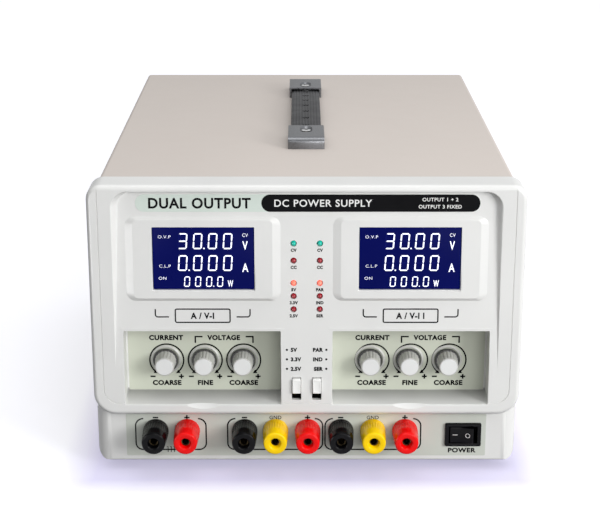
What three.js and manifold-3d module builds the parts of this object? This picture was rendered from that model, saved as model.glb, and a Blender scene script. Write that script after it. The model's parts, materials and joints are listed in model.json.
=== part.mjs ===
// A dual-channel bench power supply: steel case, moulded front bezel, six control knobs,
// two displays, eight screw-down output terminals, a carrying strap and a rear fan.
// Millimetres. +X is the instrument's right as its user sees it, the user stands at -Y, +Z is up.
// The outermost group puts the origin at the bottom centre of the whole instrument. Inside it,
// y = 0 is halfway along the case's cover and z = 0 is the surface that the feet stand on.
import * as THREE from 'three';
import { mergeVertices } from 'three/addons/utils/BufferGeometryUtils.js';
import Module from 'manifold-3d';

const wasm = await Module();
wasm.setup();

// ---- driving dimensions ----
const GAP = 0.3; // clearance left between neighbouring pieces
const FOOT_HEIGHT = 6;
const COVER = { width: 255.4, depth: 330, top: 189, sheet: 1.2, corner: 3 };
const CASE_FRONT = -COVER.depth / 2;
const CASE_REAR = COVER.depth / 2;
const BEZEL = { width: 266, bottom: 41.2, top: 190, reach: 22, wall: 3, low: 14, high: 9, edge: 2.5 };
const BEZEL_FRONT = CASE_FRONT - BEZEL.reach;
const FASCIA = { width: 267, bottom: 5.6, reach: 12, wall: 3, low: 8, high: 2, edge: 1.5, end: 10 };
const FASCIA_FRONT = CASE_FRONT - FASCIA.reach;
const FACE = { half: 113.6, bottom: 73, top: 185.5, corner: 8, sink: 5, flare: 4.9 };
const CHANNEL_X = 64.5; // each channel's centre line lies this far from the middle
const POCKET = { width: 97, bottom: 49, top: 97, floor: 20, wall: 1.8 };
const DISPLAY = { x: 63.2, width: 94.5, bottom: 117.7, height: 52, corner: 5, proud: 1.8 };
const GLASS = { x: 62.9, width: 61.5, bottom: 123.8, height: 39.2, sink: 1.6, gap: 0.4 };
const CARRIER = { half: 38, overlap: 4.4, thick: 6, behind: 12 }; // the display's board
const KNOB = { pitch: 24.4, z: 71, foot: 7.9, grip: 6.7, tip: 6.1, length: 12.6, shaft: 3 };
const KNOB_PLACES = [-1, 0, 1];
const BUSHING = { outer: 4.5, inner: 3.5, length: 5 };
const POTENTIOMETER = { half: 8, depth: 9 };
const CONTROL_BOARD = { half: 43, tall: 18, thick: 1.6 };
const LED = { x: 8, radius: 1.45, heights: [152.8, 142, 127.8, 119.5, 111.1], proud: 1 };
const LAMP_BOARD = { half: 12.5, bottom: 50, top: 160, thick: 1.6, behind: 9 };
const SELECTOR = { x: 6.3, bottom: 51.6, width: 5.8, height: 15.1, button: 9.4, proud: 1.8, body: 5.8 };
const TERMINAL = { z: 26.4, reach: 20.4, base: 8.1, tip: 7.3, collar: 2.5, socket: 2.05, hole: 5 };
const TERMINAL_X = [-95.6, -75.7, -39.2, -19.6, 0.8, 21.8, 42.1, 62.5];
const TERMINAL_COLOUR = ['black', 'red', 'black', 'yellow', 'red', 'black', 'yellow', 'red'];
const SWITCH = { x: 99.5, z: 24, width: 23, height: 15.7, flange: 2, depth: 16, pivot: 5.5, tilt: 7.5 };
const ROCKER = { half: 8.2, tall: 10.6, well: 8.9, face: 8.6 };
const HANDLE = { y: 9.8, length: 201, cap: 36.2, width: 24, height: 8, sheet: 1.4, strap: 20.4, rise: 2.5 };
const HANDLE_SCREW = { offset: 76, shank: 2, head: 3.2, sunk: 0.35 };
const STRAP = { under: 1.4, thick: 4.2, tuck: 6, slotHalf: 3.2, slotReach: 8 };
const VENT = { count: 12, pitch: 9, width: 3.2, rear: 30, bottom: 70, top: 118 };
const REAR_SLOT = { count: 9, pitch: 9, x: 52, half: 30, bottom: 90, height: 3.2 };
const FAN = { x: -62, z: 104, size: 80, depth: 25, bore: 38.2, hub: 16, blade: 36.5, blades: 7, strut: 3.5 };
const INLET = { x: 88, z: 44, width: 31, height: 37, proud: 4, flange: 3, depth: 20, step: 2.4 };
const FUSE = { x: 10.6, low: 13.2, high: 6.8, depth: 17 }; // the drawer, measured from the inlet's middle
const REAR_SHEET = 1.2;
const INSIDE_FLOOR = FOOT_HEIGHT + GAP + COVER.sheet + GAP; // where the parts inside stand

// The instrument reaches from the terminals' faces to the fuse drawer's lip.
const FRONT_REACH = -FASCIA_FRONT + TERMINAL.reach;
const REAR_REACH = CASE_REAR + INLET.proud;

// ---- solids ----

// A closed geometry as a solid, turned so that its faces point out.
function solid(geometry) {
  const bare = geometry.clone();
  bare.deleteAttribute('normal');
  bare.deleteAttribute('uv');
  const merged = mergeVertices(bare, 1e-4);
  const vertProperties = new Float32Array(merged.attributes.position.array);
  const triVerts = new Uint32Array(merged.index.array);
  const made = new wasm.Manifold(new wasm.Mesh({ numProp: 3, vertProperties, triVerts }));
  if (made.volume() > 0) {
    return made;
  }
  for (let i = 0; i < triVerts.length; i += 3) {
    const second = triVerts[i + 1];
    triVerts[i + 1] = triVerts[i + 2];
    triVerts[i + 2] = second;
  }
  return new wasm.Manifold(new wasm.Mesh({ numProp: 3, vertProperties, triVerts }));
}

// The geometry of a solid, with flat-shaded normals.
function geometryOf(made) {
  const { vertProperties, triVerts } = made.getMesh();
  const geometry = new THREE.BufferGeometry();
  geometry.setAttribute('position', new THREE.BufferAttribute(vertProperties, 3));
  geometry.setIndex(new THREE.BufferAttribute(triVerts, 1));
  const flat = geometry.toNonIndexed();
  flat.computeVertexNormals();
  return flat;
}

const joined = (pieces) => pieces.reduce((all, piece) => all.add(piece));
const cut = (body, tools) => tools.reduce((rest, tool) => rest.subtract(tool), body);

// A box from its lowest to its highest corner.
function block(x0, x1, y0, y1, z0, z1) {
  const box = new THREE.BoxGeometry(x1 - x0, y1 - y0, z1 - z0);
  return solid(box.translate((x0 + x1) / 2, (y0 + y1) / 2, (z0 + z1) / 2));
}

// A box given by its middle in x and its half width.
const slab = (x, half, y0, y1, z0, z1) => block(x - half, x + half, y0, y1, z0, z1);

// A piece turned about the Y direction; each point is [radius, y].
function turnedAlongY(profile, segments, x = 0, z = 0) {
  const points = profile.map(([radius, y]) => new THREE.Vector2(radius, y));
  return solid(new THREE.LatheGeometry(points, segments).translate(x, 0, z));
}

// A piece turned about the Z direction; each point is [radius, z].
function turnedAlongZ(profile, segments) {
  const points = profile.map(([radius, z]) => new THREE.Vector2(radius, z));
  return solid(new THREE.LatheGeometry(points, segments).rotateX(Math.PI / 2));
}

const rodAlongY = (radius, y0, y1, segments, x = 0, z = 0) =>
  turnedAlongY([[0, y0], [radius, y0], [radius, y1], [0, y1]], segments, x, z);

// A rounded rectangle in the (x, z) plane; low and high are its lower and upper corner radii.
function roundedOutline(x0, x1, z0, z1, low, high) {
  const outline = new THREE.Shape();
  const quarter = Math.PI / 2;
  outline.moveTo(x0 + low, z0);
  outline.lineTo(x1 - low, z0);
  outline.absarc(x1 - low, z0 + low, low, -quarter, 0);
  outline.lineTo(x1, z1 - high);
  outline.absarc(x1 - high, z1 - high, high, 0, quarter);
  outline.lineTo(x0 + high, z1);
  outline.absarc(x0 + high, z1 - high, high, quarter, 2 * quarter);
  outline.lineTo(x0, z0 + low);
  outline.absarc(x0 + low, z0 + low, low, 2 * quarter, 3 * quarter);
  outline.closePath();
  return outline;
}

// A front outline carried straight back from yFront to yBack.
function frontPrism(outline, yFront, yBack, curveSegments = 4) {
  const options = { depth: yBack - yFront, bevelEnabled: false, curveSegments };
  const geometry = new THREE.ExtrudeGeometry(outline, options);
  return solid(geometry.rotateX(Math.PI / 2).translate(0, yBack, 0));
}

// The same with its front edge rounded by a radius.
function softFrontPrism(outline, yFront, yBack, radius, curveSegments = 4) {
  const options = {
    depth: yBack - yFront,
    bevelEnabled: true,
    bevelThickness: radius,
    bevelSize: radius,
    bevelOffset: -radius,
    bevelSegments: 2,
    curveSegments,
  };
  const geometry = new THREE.ExtrudeGeometry(outline, options);
  const long = solid(geometry.rotateX(Math.PI / 2).translate(0, yBack + radius, 0));
  const far = 1000;
  return long.subtract(block(-far, far, yBack, far, -far, far));
}

// An outline drawn in (x, y), seen from above, carried up from z0 to z1.
function planPrism(outline, z0, z1, curveSegments = 4) {
  const options = { depth: z1 - z0, bevelEnabled: false, curveSegments };
  return solid(new THREE.ExtrudeGeometry(outline, options).translate(0, 0, z0));
}

// A closed side outline of [y, z] points carried along x.
function sidePrism(points, x0, x1) {
  const outline = new THREE.Shape(points.map(([y, z]) => new THREE.Vector2(y, z)));
  const geometry = new THREE.ExtrudeGeometry(outline, { depth: x1 - x0, bevelEnabled: false });
  const along = new THREE.Matrix4().makeBasis(
    new THREE.Vector3(0, 1, 0),
    new THREE.Vector3(0, 0, 1),
    new THREE.Vector3(1, 0, 0),
  );
  return solid(geometry.applyMatrix4(along).translate(x0, 0, 0));
}

// ---- the front face's slope ----

// The sunk face leans: it lies deepest at its top and meets the bezel's front at its bottom.
function faceY(z) {
  return BEZEL_FRONT + (FACE.sink * (z - FACE.bottom)) / (FACE.top - FACE.bottom);
}

// A knob's place in x, for its channel's side and its spot in the row.
const knobX = (side, spot) => side * CHANNEL_X + spot * KNOB.pitch;

// Everything behind the sunk face, moved forward by an offset (negative moves it back).
function behindFace(offset) {
  const top = BEZEL.top + 10;
  const back = CASE_FRONT + 10;
  return sidePrism(
    [
      [BEZEL_FRONT - offset, 0],
      [back, 0],
      [back, top],
      [faceY(top) - offset, top],
      [BEZEL_FRONT - offset, FACE.bottom],
    ],
    -BEZEL.width,
    BEZEL.width,
  );
}

// ---- materials ----
const matte = (color, roughness = 0.6) => new THREE.MeshStandardMaterial({ color, roughness });
const metal = (color, roughness = 0.35) =>
  new THREE.MeshStandardMaterial({ color, roughness, metalness: 1 });
const materials = {
  coverPaint: matte(0xcdc5be, 0.55),
  ivory: matte(0xe4e4e2, 0.4),
  zinc: metal(0xb9bcbe, 0.4),
  rubber: matte(0x1c1c1d, 0.85),
  strap: matte(0x2b2b2e, 0.7),
  capSteel: metal(0x8b8b8e, 0.3),
  screwSteel: metal(0xd0d0d0, 0.2),
  glass: matte(0x0a0f64, 0.15),
  board: matte(0x1f5a38, 0.5),
  slider: matte(0xf2f2f0, 0.4),
  knob: matte(0xd6d6d4, 0.4),
  black: matte(0x101012, 0.35),
  red: matte(0xeb2828, 0.35),
  yellow: matte(0xf5d214, 0.35),
  nickel: metal(0xd8d6d0, 0.25),
  iron: metal(0x6b6b6e, 0.6),
  aluminium: metal(0xb8bbc0, 0.4),
};

// ---- case ----

const CHASSIS_HALF = COVER.width / 2 - COVER.sheet - 2 * GAP;

// Folded steel tray: floor, two side flanges, a tall front flange and a low rear one.
function makeBaseChassis() {
  const half = CHASSIS_HALF;
  const bottom = FOOT_HEIGHT + GAP;
  const sheet = COVER.sheet;
  const front = CASE_FRONT + GAP;
  const rear = CASE_REAR - REAR_SHEET - GAP;
  const flange = { side: 46, front: 60, rear: 20 };
  const inner = { half: half - sheet, front: front + sheet, rear: rear - sheet };
  const tray = block(-half, half, front, rear, bottom, flange.side);
  const above = flange.side + 1;
  const hollow = block(-inner.half, inner.half, inner.front, inner.rear, bottom + sheet, above);
  const behind = block(-inner.half, inner.half, inner.front, rear + 1, flange.rear, above);
  const raised = block(-half, half, front, inner.front, flange.side - 1, flange.front);
  const switchSlot = slab(SWITCH.x, 14, front - 1, inner.front + 1, 12, 36);
  return cut(tray, [hollow, behind]).add(raised).subtract(switchSlot);
}

// Folded cover: an upside-down U of sheet steel with rounded bends and side vents.
function makeTopCover() {
  const half = COVER.width / 2;
  const bottom = FOOT_HEIGHT + GAP;
  const inset = COVER.sheet;
  const outer = roundedOutline(-half, half, bottom, COVER.top, 0.01, COVER.corner);
  const innerHalf = half - inset;
  const innerCorner = COVER.corner - inset;
  const innerTop = COVER.top - inset;
  const inner = roundedOutline(-innerHalf, innerHalf, bottom - 5, innerTop, 0.01, innerCorner);
  const shell = frontPrism(outer, CASE_FRONT, CASE_REAR, 3);
  const hollow = frontPrism(inner, CASE_FRONT - 1, CASE_REAR + 1, 3);
  const vents = [];
  for (let i = 0; i < VENT.count; i += 1) {
    const y = CASE_REAR - VENT.rear - i * VENT.pitch;
    const reach = VENT.width / 2;
    vents.push(block(-half - 1, half + 1, y - reach, y + reach, VENT.bottom, VENT.top));
  }
  const clearance = HANDLE_SCREW.shank + 0.4;
  const screws = [-1, 1].map((end) => {
    const hole = turnedAlongZ([[0, -10], [clearance, -10], [clearance, 10], [0, 10]], 10);
    return hole.translate([0, HANDLE.y + end * HANDLE_SCREW.offset, COVER.top]);
  });
  return cut(shell.subtract(hollow), [...vents, ...screws]);
}

// Flat rear panel with a fan opening, a mains inlet cut-out and vent slots over the heat sink.
function makeRearPanel() {
  const half = CHASSIS_HALF - COVER.sheet - GAP;
  const front = CASE_REAR - REAR_SHEET;
  const plate = block(-half, half, front, CASE_REAR, FOOT_HEIGHT + 2, COVER.top - COVER.sheet - GAP);
  const fanHole = rodAlongY(FAN.bore, front - 1, CASE_REAR + 1, 32, FAN.x, FAN.z);
  const inletHole = slab(
    INLET.x,
    INLET.width / 2 - 2,
    front - 1,
    CASE_REAR + 1,
    INLET.z - INLET.height / 2 + 2,
    INLET.z + INLET.height / 2 - 2,
  );
  const slots = [];
  for (let i = 0; i < REAR_SLOT.count; i += 1) {
    const z = REAR_SLOT.bottom + i * REAR_SLOT.pitch;
    slots.push(slab(REAR_SLOT.x, REAR_SLOT.half, front - 1, CASE_REAR + 1, z, z + REAR_SLOT.height));
  }
  return cut(plate, [fanHole, inletHole, ...slots]);
}

// Moulded front bezel: rim, leaning sunk face, two display surrounds and two control pockets.
function makeFrontBezel() {
  const half = BEZEL.width / 2;
  const back = CASE_FRONT - GAP;
  const outline = roundedOutline(-half, half, BEZEL.bottom, BEZEL.top, BEZEL.low, BEZEL.high);
  const rim = softFrontPrism(outline, BEZEL_FRONT, back, BEZEL.edge);
  const inset = BEZEL.wall;
  const innerOutline = roundedOutline(
    -half + inset,
    half - inset,
    BEZEL.bottom + inset,
    BEZEL.top - inset,
    BEZEL.low - inset,
    BEZEL.high - inset,
  );
  const hollow = frontPrism(innerOutline, BEZEL_FRONT - 1, back + 1).intersect(behindFace(-inset));
  const shell = rim.subtract(hollow);

  const pocketShells = [];
  const pocketHollows = [];
  const surrounds = [];
  const openings = [];
  for (const side of [-1, 1]) {
    const x = side * CHANNEL_X;
    const reach = POCKET.width / 2;
    const floor = BEZEL_FRONT + POCKET.floor;
    pocketShells.push(
      slab(
        x,
        reach + POCKET.wall,
        BEZEL_FRONT + 1,
        back,
        POCKET.bottom - POCKET.wall,
        POCKET.top + POCKET.wall,
      ),
    );
    pocketHollows.push(slab(x, reach, BEZEL_FRONT - 5, floor, POCKET.bottom, POCKET.top));
    for (const spot of KNOB_PLACES) {
      const hole = BUSHING.outer + 2 * GAP;
      openings.push(rodAlongY(hole, floor - 1, back + 1, 10, knobX(side, spot), KNOB.z));
    }
    const frameX = side * DISPLAY.x;
    const frame = roundedOutline(
      frameX - DISPLAY.width / 2,
      frameX + DISPLAY.width / 2,
      DISPLAY.bottom,
      DISPLAY.bottom + DISPLAY.height,
      DISPLAY.corner,
      DISPLAY.corner,
    );
    const frameBlock = frontPrism(frame, BEZEL_FRONT - 5, BEZEL_FRONT + FACE.sink + 1, 3);
    surrounds.push(frameBlock.intersect(behindFace(DISPLAY.proud)).subtract(behindFace(-inset)));
    openings.push(
      slab(
        side * GLASS.x,
        GLASS.width / 2 + GLASS.gap,
        BEZEL_FRONT - 5,
        back,
        GLASS.bottom - GLASS.gap,
        GLASS.bottom + GLASS.height + GLASS.gap,
      ),
    );
    for (const z of LED.heights) {
      openings.push(rodAlongY(LED.radius + 0.4, BEZEL_FRONT - 5, back, 8, side * LED.x, z));
    }
    openings.push(
      slab(
        side * SELECTOR.x,
        SELECTOR.width / 2,
        BEZEL_FRONT - 5,
        BEZEL_FRONT + BEZEL.wall + 1,
        SELECTOR.bottom,
        SELECTOR.bottom + SELECTOR.height,
      ),
    );
  }

  const sunk = roundedOutline(
    -FACE.half,
    FACE.half,
    FACE.bottom,
    FACE.top - FACE.flare + 0.01,
    0.5,
    FACE.corner,
  );
  const flare = new THREE.ExtrudeGeometry(sunk, {
    depth: 10,
    bevelEnabled: true,
    bevelThickness: FACE.sink,
    bevelSize: FACE.flare,
    bevelSegments: 1,
    curveSegments: 4,
  });
  const funnel = solid(flare.rotateX(Math.PI / 2).translate(0, BEZEL_FRONT, 0));
  const aboveBottom = block(-half, half, BEZEL_FRONT - 20, back, FACE.bottom, BEZEL.top);
  const sink = funnel.intersect(aboveBottom).subtract(behindFace(0));
  return cut(joined([shell, ...pocketShells]), [sink, ...pocketHollows])
    .add(joined(surrounds))
    .subtract(joined(openings));
}

// Moulded lower fascia, set back below the bezel, that carries the terminals and the switch.
// Its two ends curve back to the case.
function makeLowerFascia() {
  const half = FASCIA.width / 2;
  const top = BEZEL.bottom - GAP;
  const back = CASE_FRONT - GAP;
  const inset = FASCIA.wall;

  // The outline with its ends curved back, smaller all round by an inset.
  const shrunk = (by, shape) => {
    const plan = roundedOutline(-half + by, half - by, FASCIA_FRONT + by, back + 10, FASCIA.end - by, 0.5);
    return shape.intersect(planPrism(plan, 0, top + 1));
  };
  const outline = roundedOutline(-half, half, FASCIA.bottom, top, FASCIA.low, FASCIA.high);
  const innerHalf = half - inset;
  const innerLow = FASCIA.low - inset;
  const inner = roundedOutline(-innerHalf, innerHalf, FASCIA.bottom + inset, top - inset, innerLow, 0.5);
  const shell = shrunk(0, softFrontPrism(outline, FASCIA_FRONT, back, FASCIA.edge));
  const hollow = shrunk(inset, frontPrism(inner, FASCIA_FRONT + inset, back + 1));
  const holes = TERMINAL_X.map((x) =>
    rodAlongY(TERMINAL.hole, FASCIA_FRONT - 1, FASCIA_FRONT + inset + 1, 12, x, TERMINAL.z),
  );
  const switchHole = slab(
    SWITCH.x,
    SWITCH.width / 2 - 1.1,
    FASCIA_FRONT - 1,
    FASCIA_FRONT + inset + 1,
    SWITCH.z - SWITCH.height / 2 + 1,
    SWITCH.z + SWITCH.height / 2 - 1,
  );
  return cut(shell.subtract(hollow), [...holes, switchHole]);
}

// Round rubber foot with a sloped side.
const makeFoot = () => turnedAlongZ([[0, 0], [8, 0], [10, FOOT_HEIGHT], [0, FOOT_HEIGHT]], 14);

// ---- handle ----

// The strap: two flat tongues that slide under the caps and a middle that arches gently.
function makeHandleStrap() {
  const under = COVER.top + STRAP.under;
  const end = HANDLE.length / 2 - STRAP.tuck;
  const capMouth = HANDLE.length / 2 - HANDLE.cap;
  const steps = 10;
  const lower = [];
  const upper = [];
  for (let i = 0; i <= steps; i += 1) {
    const t = (2 * i) / steps - 1;
    const rise = HANDLE.rise * (1 - t * t);
    lower.push([HANDLE.y + t * capMouth, under + rise]);
    upper.push([HANDLE.y + t * capMouth, under + STRAP.thick + rise]);
  }
  const outline = [
    [HANDLE.y - end, under],
    ...lower,
    [HANDLE.y + end, under],
    [HANDLE.y + end, under + STRAP.thick],
    ...upper.reverse(),
    [HANDLE.y - end, under + STRAP.thick],
  ];
  const strap = sidePrism(outline, -HANDLE.strap / 2, HANDLE.strap / 2);
  const reach = STRAP.slotReach;
  const slots = [-1, 1].map((side) => {
    const y = HANDLE.y + side * HANDLE_SCREW.offset;
    return slab(0, STRAP.slotHalf, y - reach, y + reach, COVER.top, COVER.top + 10);
  });
  return cut(strap, slots);
}

// Pressed steel end cap, open below and on the strap's side, with an oval countersunk screw slot.
function makeHandleCap() {
  const half = HANDLE.width / 2;
  const bottom = COVER.top + 0.05;
  const top = COVER.top + HANDLE.height;
  const outer = sidePrism(
    [
      [0, bottom],
      [HANDLE.cap, bottom],
      [HANDLE.cap, top - 0.6],
      [HANDLE.cap - 0.6, top],
      [4, top],
      [1, top - 1.6],
      [0, top - 4.5],
    ],
    -half,
    half,
  );
  const sheet = HANDLE.sheet;
  const inner = block(-half + sheet, half - sheet, sheet, HANDLE.cap + 1, bottom - 1, top - sheet);
  const slot = { half: 3, reach: 7.5, slope: 1.1 };
  const oval = roundedOutline(-slot.half, slot.half, -slot.reach, slot.reach, slot.half, slot.half);
  const sink = new THREE.ExtrudeGeometry(oval, {
    depth: 3,
    bevelEnabled: true,
    bevelThickness: sheet + 0.1,
    bevelSize: slot.slope,
    bevelSegments: 1,
    curveSegments: 5,
  });
  const screwY = HANDLE.length / 2 - HANDLE_SCREW.offset;
  return cut(outer, [inner, solid(sink.translate(0, screwY, top))]);
}

// Countersunk screw that holds a cap down; its head lies just below the cap's surface.
function makeHandleScrew() {
  const top = HANDLE.height - HANDLE_SCREW.sunk;
  const { shank, head } = HANDLE_SCREW;
  const profile = [[0, -6], [shank, -6], [shank, top - 1.85], [head, top - 0.35], [head, top], [0, top]];
  return turnedAlongZ(profile, 14);
}

// ---- displays, indicators and controls ----

// Display module: glass that fills the window, on a wider carrier board.
function makeDisplayModule() {
  const middle = GLASS.bottom + GLASS.height / 2;
  const glassFront = faceY(middle) - DISPLAY.proud + GLASS.sink;
  const boardFront = CASE_FRONT - CARRIER.behind;
  const half = GLASS.width / 2;
  const top = GLASS.bottom + GLASS.height;
  const glass = slab(0, half, glassFront, boardFront + 1, GLASS.bottom, top);
  const low = GLASS.bottom - CARRIER.overlap;
  const board = slab(0, CARRIER.half, boardFront, boardFront + CARRIER.thick, low, top + CARRIER.overlap);
  return glass.add(board);
}

// One narrow board that carries the ten indicator lamps and both slide switches' bodies.
function makeIndicatorBoard() {
  const front = CASE_FRONT - LAMP_BOARD.behind;
  const { half, thick, bottom, top } = LAMP_BOARD;
  const pieces = [slab(0, half, front, front + thick, bottom, top)];
  for (const side of [-1, 1]) {
    for (const z of LED.heights) {
      const tip = faceY(z) - LED.proud;
      const lamp = [
        [0, front + 1],
        [LED.radius, front + 1],
        [LED.radius, tip + 0.8],
        [LED.radius * 0.7, tip + 0.2],
        [0, tip],
      ];
      pieces.push(turnedAlongY(lamp, 8, side * LED.x, z));
    }
    const x = side * SELECTOR.x;
    const bodyFront = BEZEL_FRONT + BEZEL.wall + 0.4;
    const low = SELECTOR.bottom;
    const high = SELECTOR.bottom + SELECTOR.height;
    const body = slab(x, SELECTOR.body, bodyFront, front + 1, low - 2, high + 2);
    const channel = slab(x, SELECTOR.width / 2, bodyFront - 1, bodyFront + 5, low, high);
    pieces.push(body.subtract(channel));
  }
  return joined(pieces);
}

// Slide switch button: a block with a bevelled front, drawn about its own middle in x.
function makeSelectorButton() {
  const top = SELECTOR.bottom + SELECTOR.height - 0.8;
  const low = top - SELECTOR.button;
  const front = BEZEL_FRONT - SELECTOR.proud;
  const back = BEZEL_FRONT + BEZEL.wall + 4;
  const outline = [
    [back, low],
    [back, top],
    [front + 0.5, top],
    [front, top - 0.5],
    [front, low + 0.5],
    [front + 0.5, low],
  ];
  const half = SELECTOR.width / 2 - 0.3;
  return sidePrism(outline, -half, half);
}

// Control board behind a pocket: three potentiometers whose bushings pass through its floor.
function makeControlBoard() {
  const front = CASE_FRONT + GAP;
  const back = front + POTENTIOMETER.depth;
  const { half, tall, thick } = CONTROL_BOARD;
  const pieces = [slab(0, half, back - 0.5, back - 0.5 + thick, KNOB.z - tall, KNOB.z + tall)];
  const bores = [];
  for (const spot of KNOB_PLACES) {
    const x = spot * KNOB.pitch;
    const reach = POTENTIOMETER.half;
    const tip = BEZEL_FRONT + POCKET.floor - BUSHING.length;
    pieces.push(slab(x, reach, front, back, KNOB.z - reach, KNOB.z + reach));
    pieces.push(rodAlongY(BUSHING.outer, tip, front + 1, 10, x, KNOB.z));
    bores.push(rodAlongY(BUSHING.inner, tip - 1, front + 7, 10, x, KNOB.z));
  }
  return cut(joined(pieces), bores);
}

// Knob with its shaft: a grip on a wider skirt, hollow behind so that it covers the bushing.
function makeKnob() {
  const floor = BEZEL_FRONT + POCKET.floor;
  const foot = floor - 1.2;
  const face = foot - KNOB.length;
  const cavity = { radius: BUSHING.outer + 0.9, front: floor - 7 };
  const shaftEnd = CASE_FRONT + 6.5;
  const profile = [
    [0, shaftEnd],
    [KNOB.shaft, shaftEnd],
    [KNOB.shaft, cavity.front],
    [cavity.radius, cavity.front],
    [cavity.radius, foot],
    [KNOB.foot, foot],
    [KNOB.foot, foot - 1.4],
    [KNOB.grip, foot - 1.8],
    [KNOB.tip, face + 1],
    [KNOB.tip - 0.7, face],
    [0, face],
  ];
  return turnedAlongY(profile, 14);
}

// ---- output terminals ----

// Plated stud with a 4 mm socket bored down it, a moulded collar and its nut behind the panel.
function makeTerminalPost() {
  const panel = FASCIA_FRONT;
  const collarFront = panel - GAP - TERMINAL.collar;
  const tip = panel - TERMINAL.reach + 3.5;
  const profile = [
    [0, panel + 10],
    [2, panel + 10],
    [2, panel + 6],
    [6, panel + 6],
    [6, panel + FASCIA.wall + GAP],
    [4.5, panel + FASCIA.wall + GAP],
    [4.5, panel - GAP],
    [TERMINAL.base, panel - GAP],
    [TERMINAL.base, collarFront],
    [3.5, collarFront],
    [3.5, tip],
    [TERMINAL.socket, tip],
    [TERMINAL.socket, panel],
    [0, panel],
  ];
  return turnedAlongY(profile, 10);
}

// Threaded metal bush inside a cap.
function makeTerminalBush() {
  const back = FASCIA_FRONT - TERMINAL.collar - 2;
  const front = FASCIA_FRONT - TERMINAL.reach + 3.8;
  return turnedAlongY([[3.9, front], [5.6, front], [5.6, back], [3.9, back], [3.9, front]], 10);
}

// Screw-down cap: a tapering sleeve with a countersunk mouth for a 4 mm plug.
function makeTerminalCap() {
  const back = FASCIA_FRONT - TERMINAL.collar - 2 * GAP;
  const face = FASCIA_FRONT - TERMINAL.reach;
  const inner = face + 3.2;
  const profile = [
    [5.95, inner],
    [2.4, inner],
    [2.4, face + 1.8],
    [3.3, face],
    [TERMINAL.tip - 0.8, face],
    [TERMINAL.tip, face + 0.8],
    [TERMINAL.base, back - 1.4],
    [TERMINAL.base, back],
    [5.95, back],
    [5.95, inner],
  ];
  return turnedAlongY(profile, 12);
}

// ---- power switch ----

// Snap-in switch body: a flange on the panel and a box behind it with the rocker's hollow.
function makeSwitchBody() {
  const panel = FASCIA_FRONT - GAP;
  const flangeHalf = SWITCH.width / 2;
  const outline = roundedOutline(
    SWITCH.x - flangeHalf,
    SWITCH.x + flangeHalf,
    SWITCH.z - SWITCH.height / 2,
    SWITCH.z + SWITCH.height / 2,
    1,
    1,
  );
  const flange = softFrontPrism(outline, panel - SWITCH.flange, panel, 0.6, 2);
  const tall = { box: 6.4, well: ROCKER.tall / 2 + GAP };
  const back = panel + SWITCH.depth;
  const box = slab(SWITCH.x, flangeHalf - 1.4, panel - 0.5, back, SWITCH.z - tall.box, SWITCH.z + tall.box);
  const low = SWITCH.z - tall.well;
  const hollow = slab(SWITCH.x, ROCKER.well, panel - 5, panel + 9.5, low, SWITCH.z + tall.well);
  return flange.add(box).subtract(hollow);
}

// Rocker in its own frame: its pivot runs along z through the origin and its face is a shallow V.
function makeRocker() {
  const { half, face, tall } = ROCKER;
  const outline = new THREE.Shape();
  outline.moveTo(-half, 1.5);
  outline.lineTo(-half + 0.7, -face);
  outline.lineTo(0, -face + 1);
  outline.lineTo(half - 0.7, -face);
  outline.lineTo(half, 1.5);
  outline.lineTo(4, 2.6);
  outline.lineTo(-4, 2.6);
  outline.closePath();
  const geometry = new THREE.ExtrudeGeometry(outline, { depth: tall, bevelEnabled: false });
  return solid(geometry.translate(0, 0, -tall / 2));
}

// ---- rear and inside ----

// Square fan housing with a round duct, four struts and a motor mount on the panel's side.
function makeFanFrame() {
  const back = CASE_REAR - REAR_SHEET - GAP;
  const front = back - FAN.depth;
  const half = FAN.size / 2;
  const corner = 5;
  const outline = roundedOutline(-half, half, -half, half, corner, corner);
  const frame = frontPrism(outline, front, back, 2);
  const duct = rodAlongY(FAN.bore, front - 1, back + 1, 32);
  const mount = rodAlongY(FAN.hub, back - FAN.strut - 0.5, back, 20);
  const struts = [45, 135].map((turn) =>
    slab(0, half - 1, back - FAN.strut, back, -1.5, 1.5).rotate([0, turn, 0]),
  );
  return frame.subtract(duct).add(joined([mount, ...struts]));
}

// Fan rotor: a closed hub with slanted blades, drawn about its own middle.
function makeFanImpeller() {
  const reach = 8.5;
  const hub = rodAlongY(FAN.hub, -reach, reach, 20);
  const blades = [];
  for (let i = 0; i < FAN.blades; i += 1) {
    const blade = block(FAN.hub - 2, FAN.blade, -reach, reach, -0.7, 0.7);
    blades.push(blade.rotate([42, 0, 0]).rotate([0, (360 * i) / FAN.blades, 0]));
  }
  return hub.add(joined(blades));
}

// Mains inlet with a recessed three-pin socket above and a fuse drawer's slot below.
function makePowerInlet() {
  const panel = CASE_REAR + 0.05;
  const rear = panel + INLET.flange;
  const halfWidth = INLET.width / 2;
  const halfHeight = INLET.height / 2;
  const flange = slab(INLET.x, halfWidth, panel, rear, INLET.z - halfHeight, INLET.z + halfHeight);
  const body = slab(
    INLET.x,
    halfWidth - INLET.step,
    panel - INLET.depth,
    panel + 1,
    INLET.z - halfHeight + INLET.step,
    INLET.z + halfHeight - INLET.step,
  );
  const socket = slab(INLET.x, 12.2, panel - 14, rear + 1, INLET.z - 4, INLET.z + 13);
  const slotLow = INLET.z - FUSE.low - 0.4;
  const slotHigh = INLET.z - FUSE.high + 0.4;
  const drawer = slab(INLET.x, FUSE.x + 0.4, panel - FUSE.depth - 1, rear + 1, slotLow, slotHigh);
  const pins = [[-7, 3], [0, 7], [7, 3]].map(([x, z]) =>
    slab(INLET.x + x, 1, panel - 15, panel - 2, INLET.z + z - 2.2, INLET.z + z + 2.2),
  );
  return cut(flange.add(body), [socket, drawer]).add(joined(pins));
}

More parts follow.
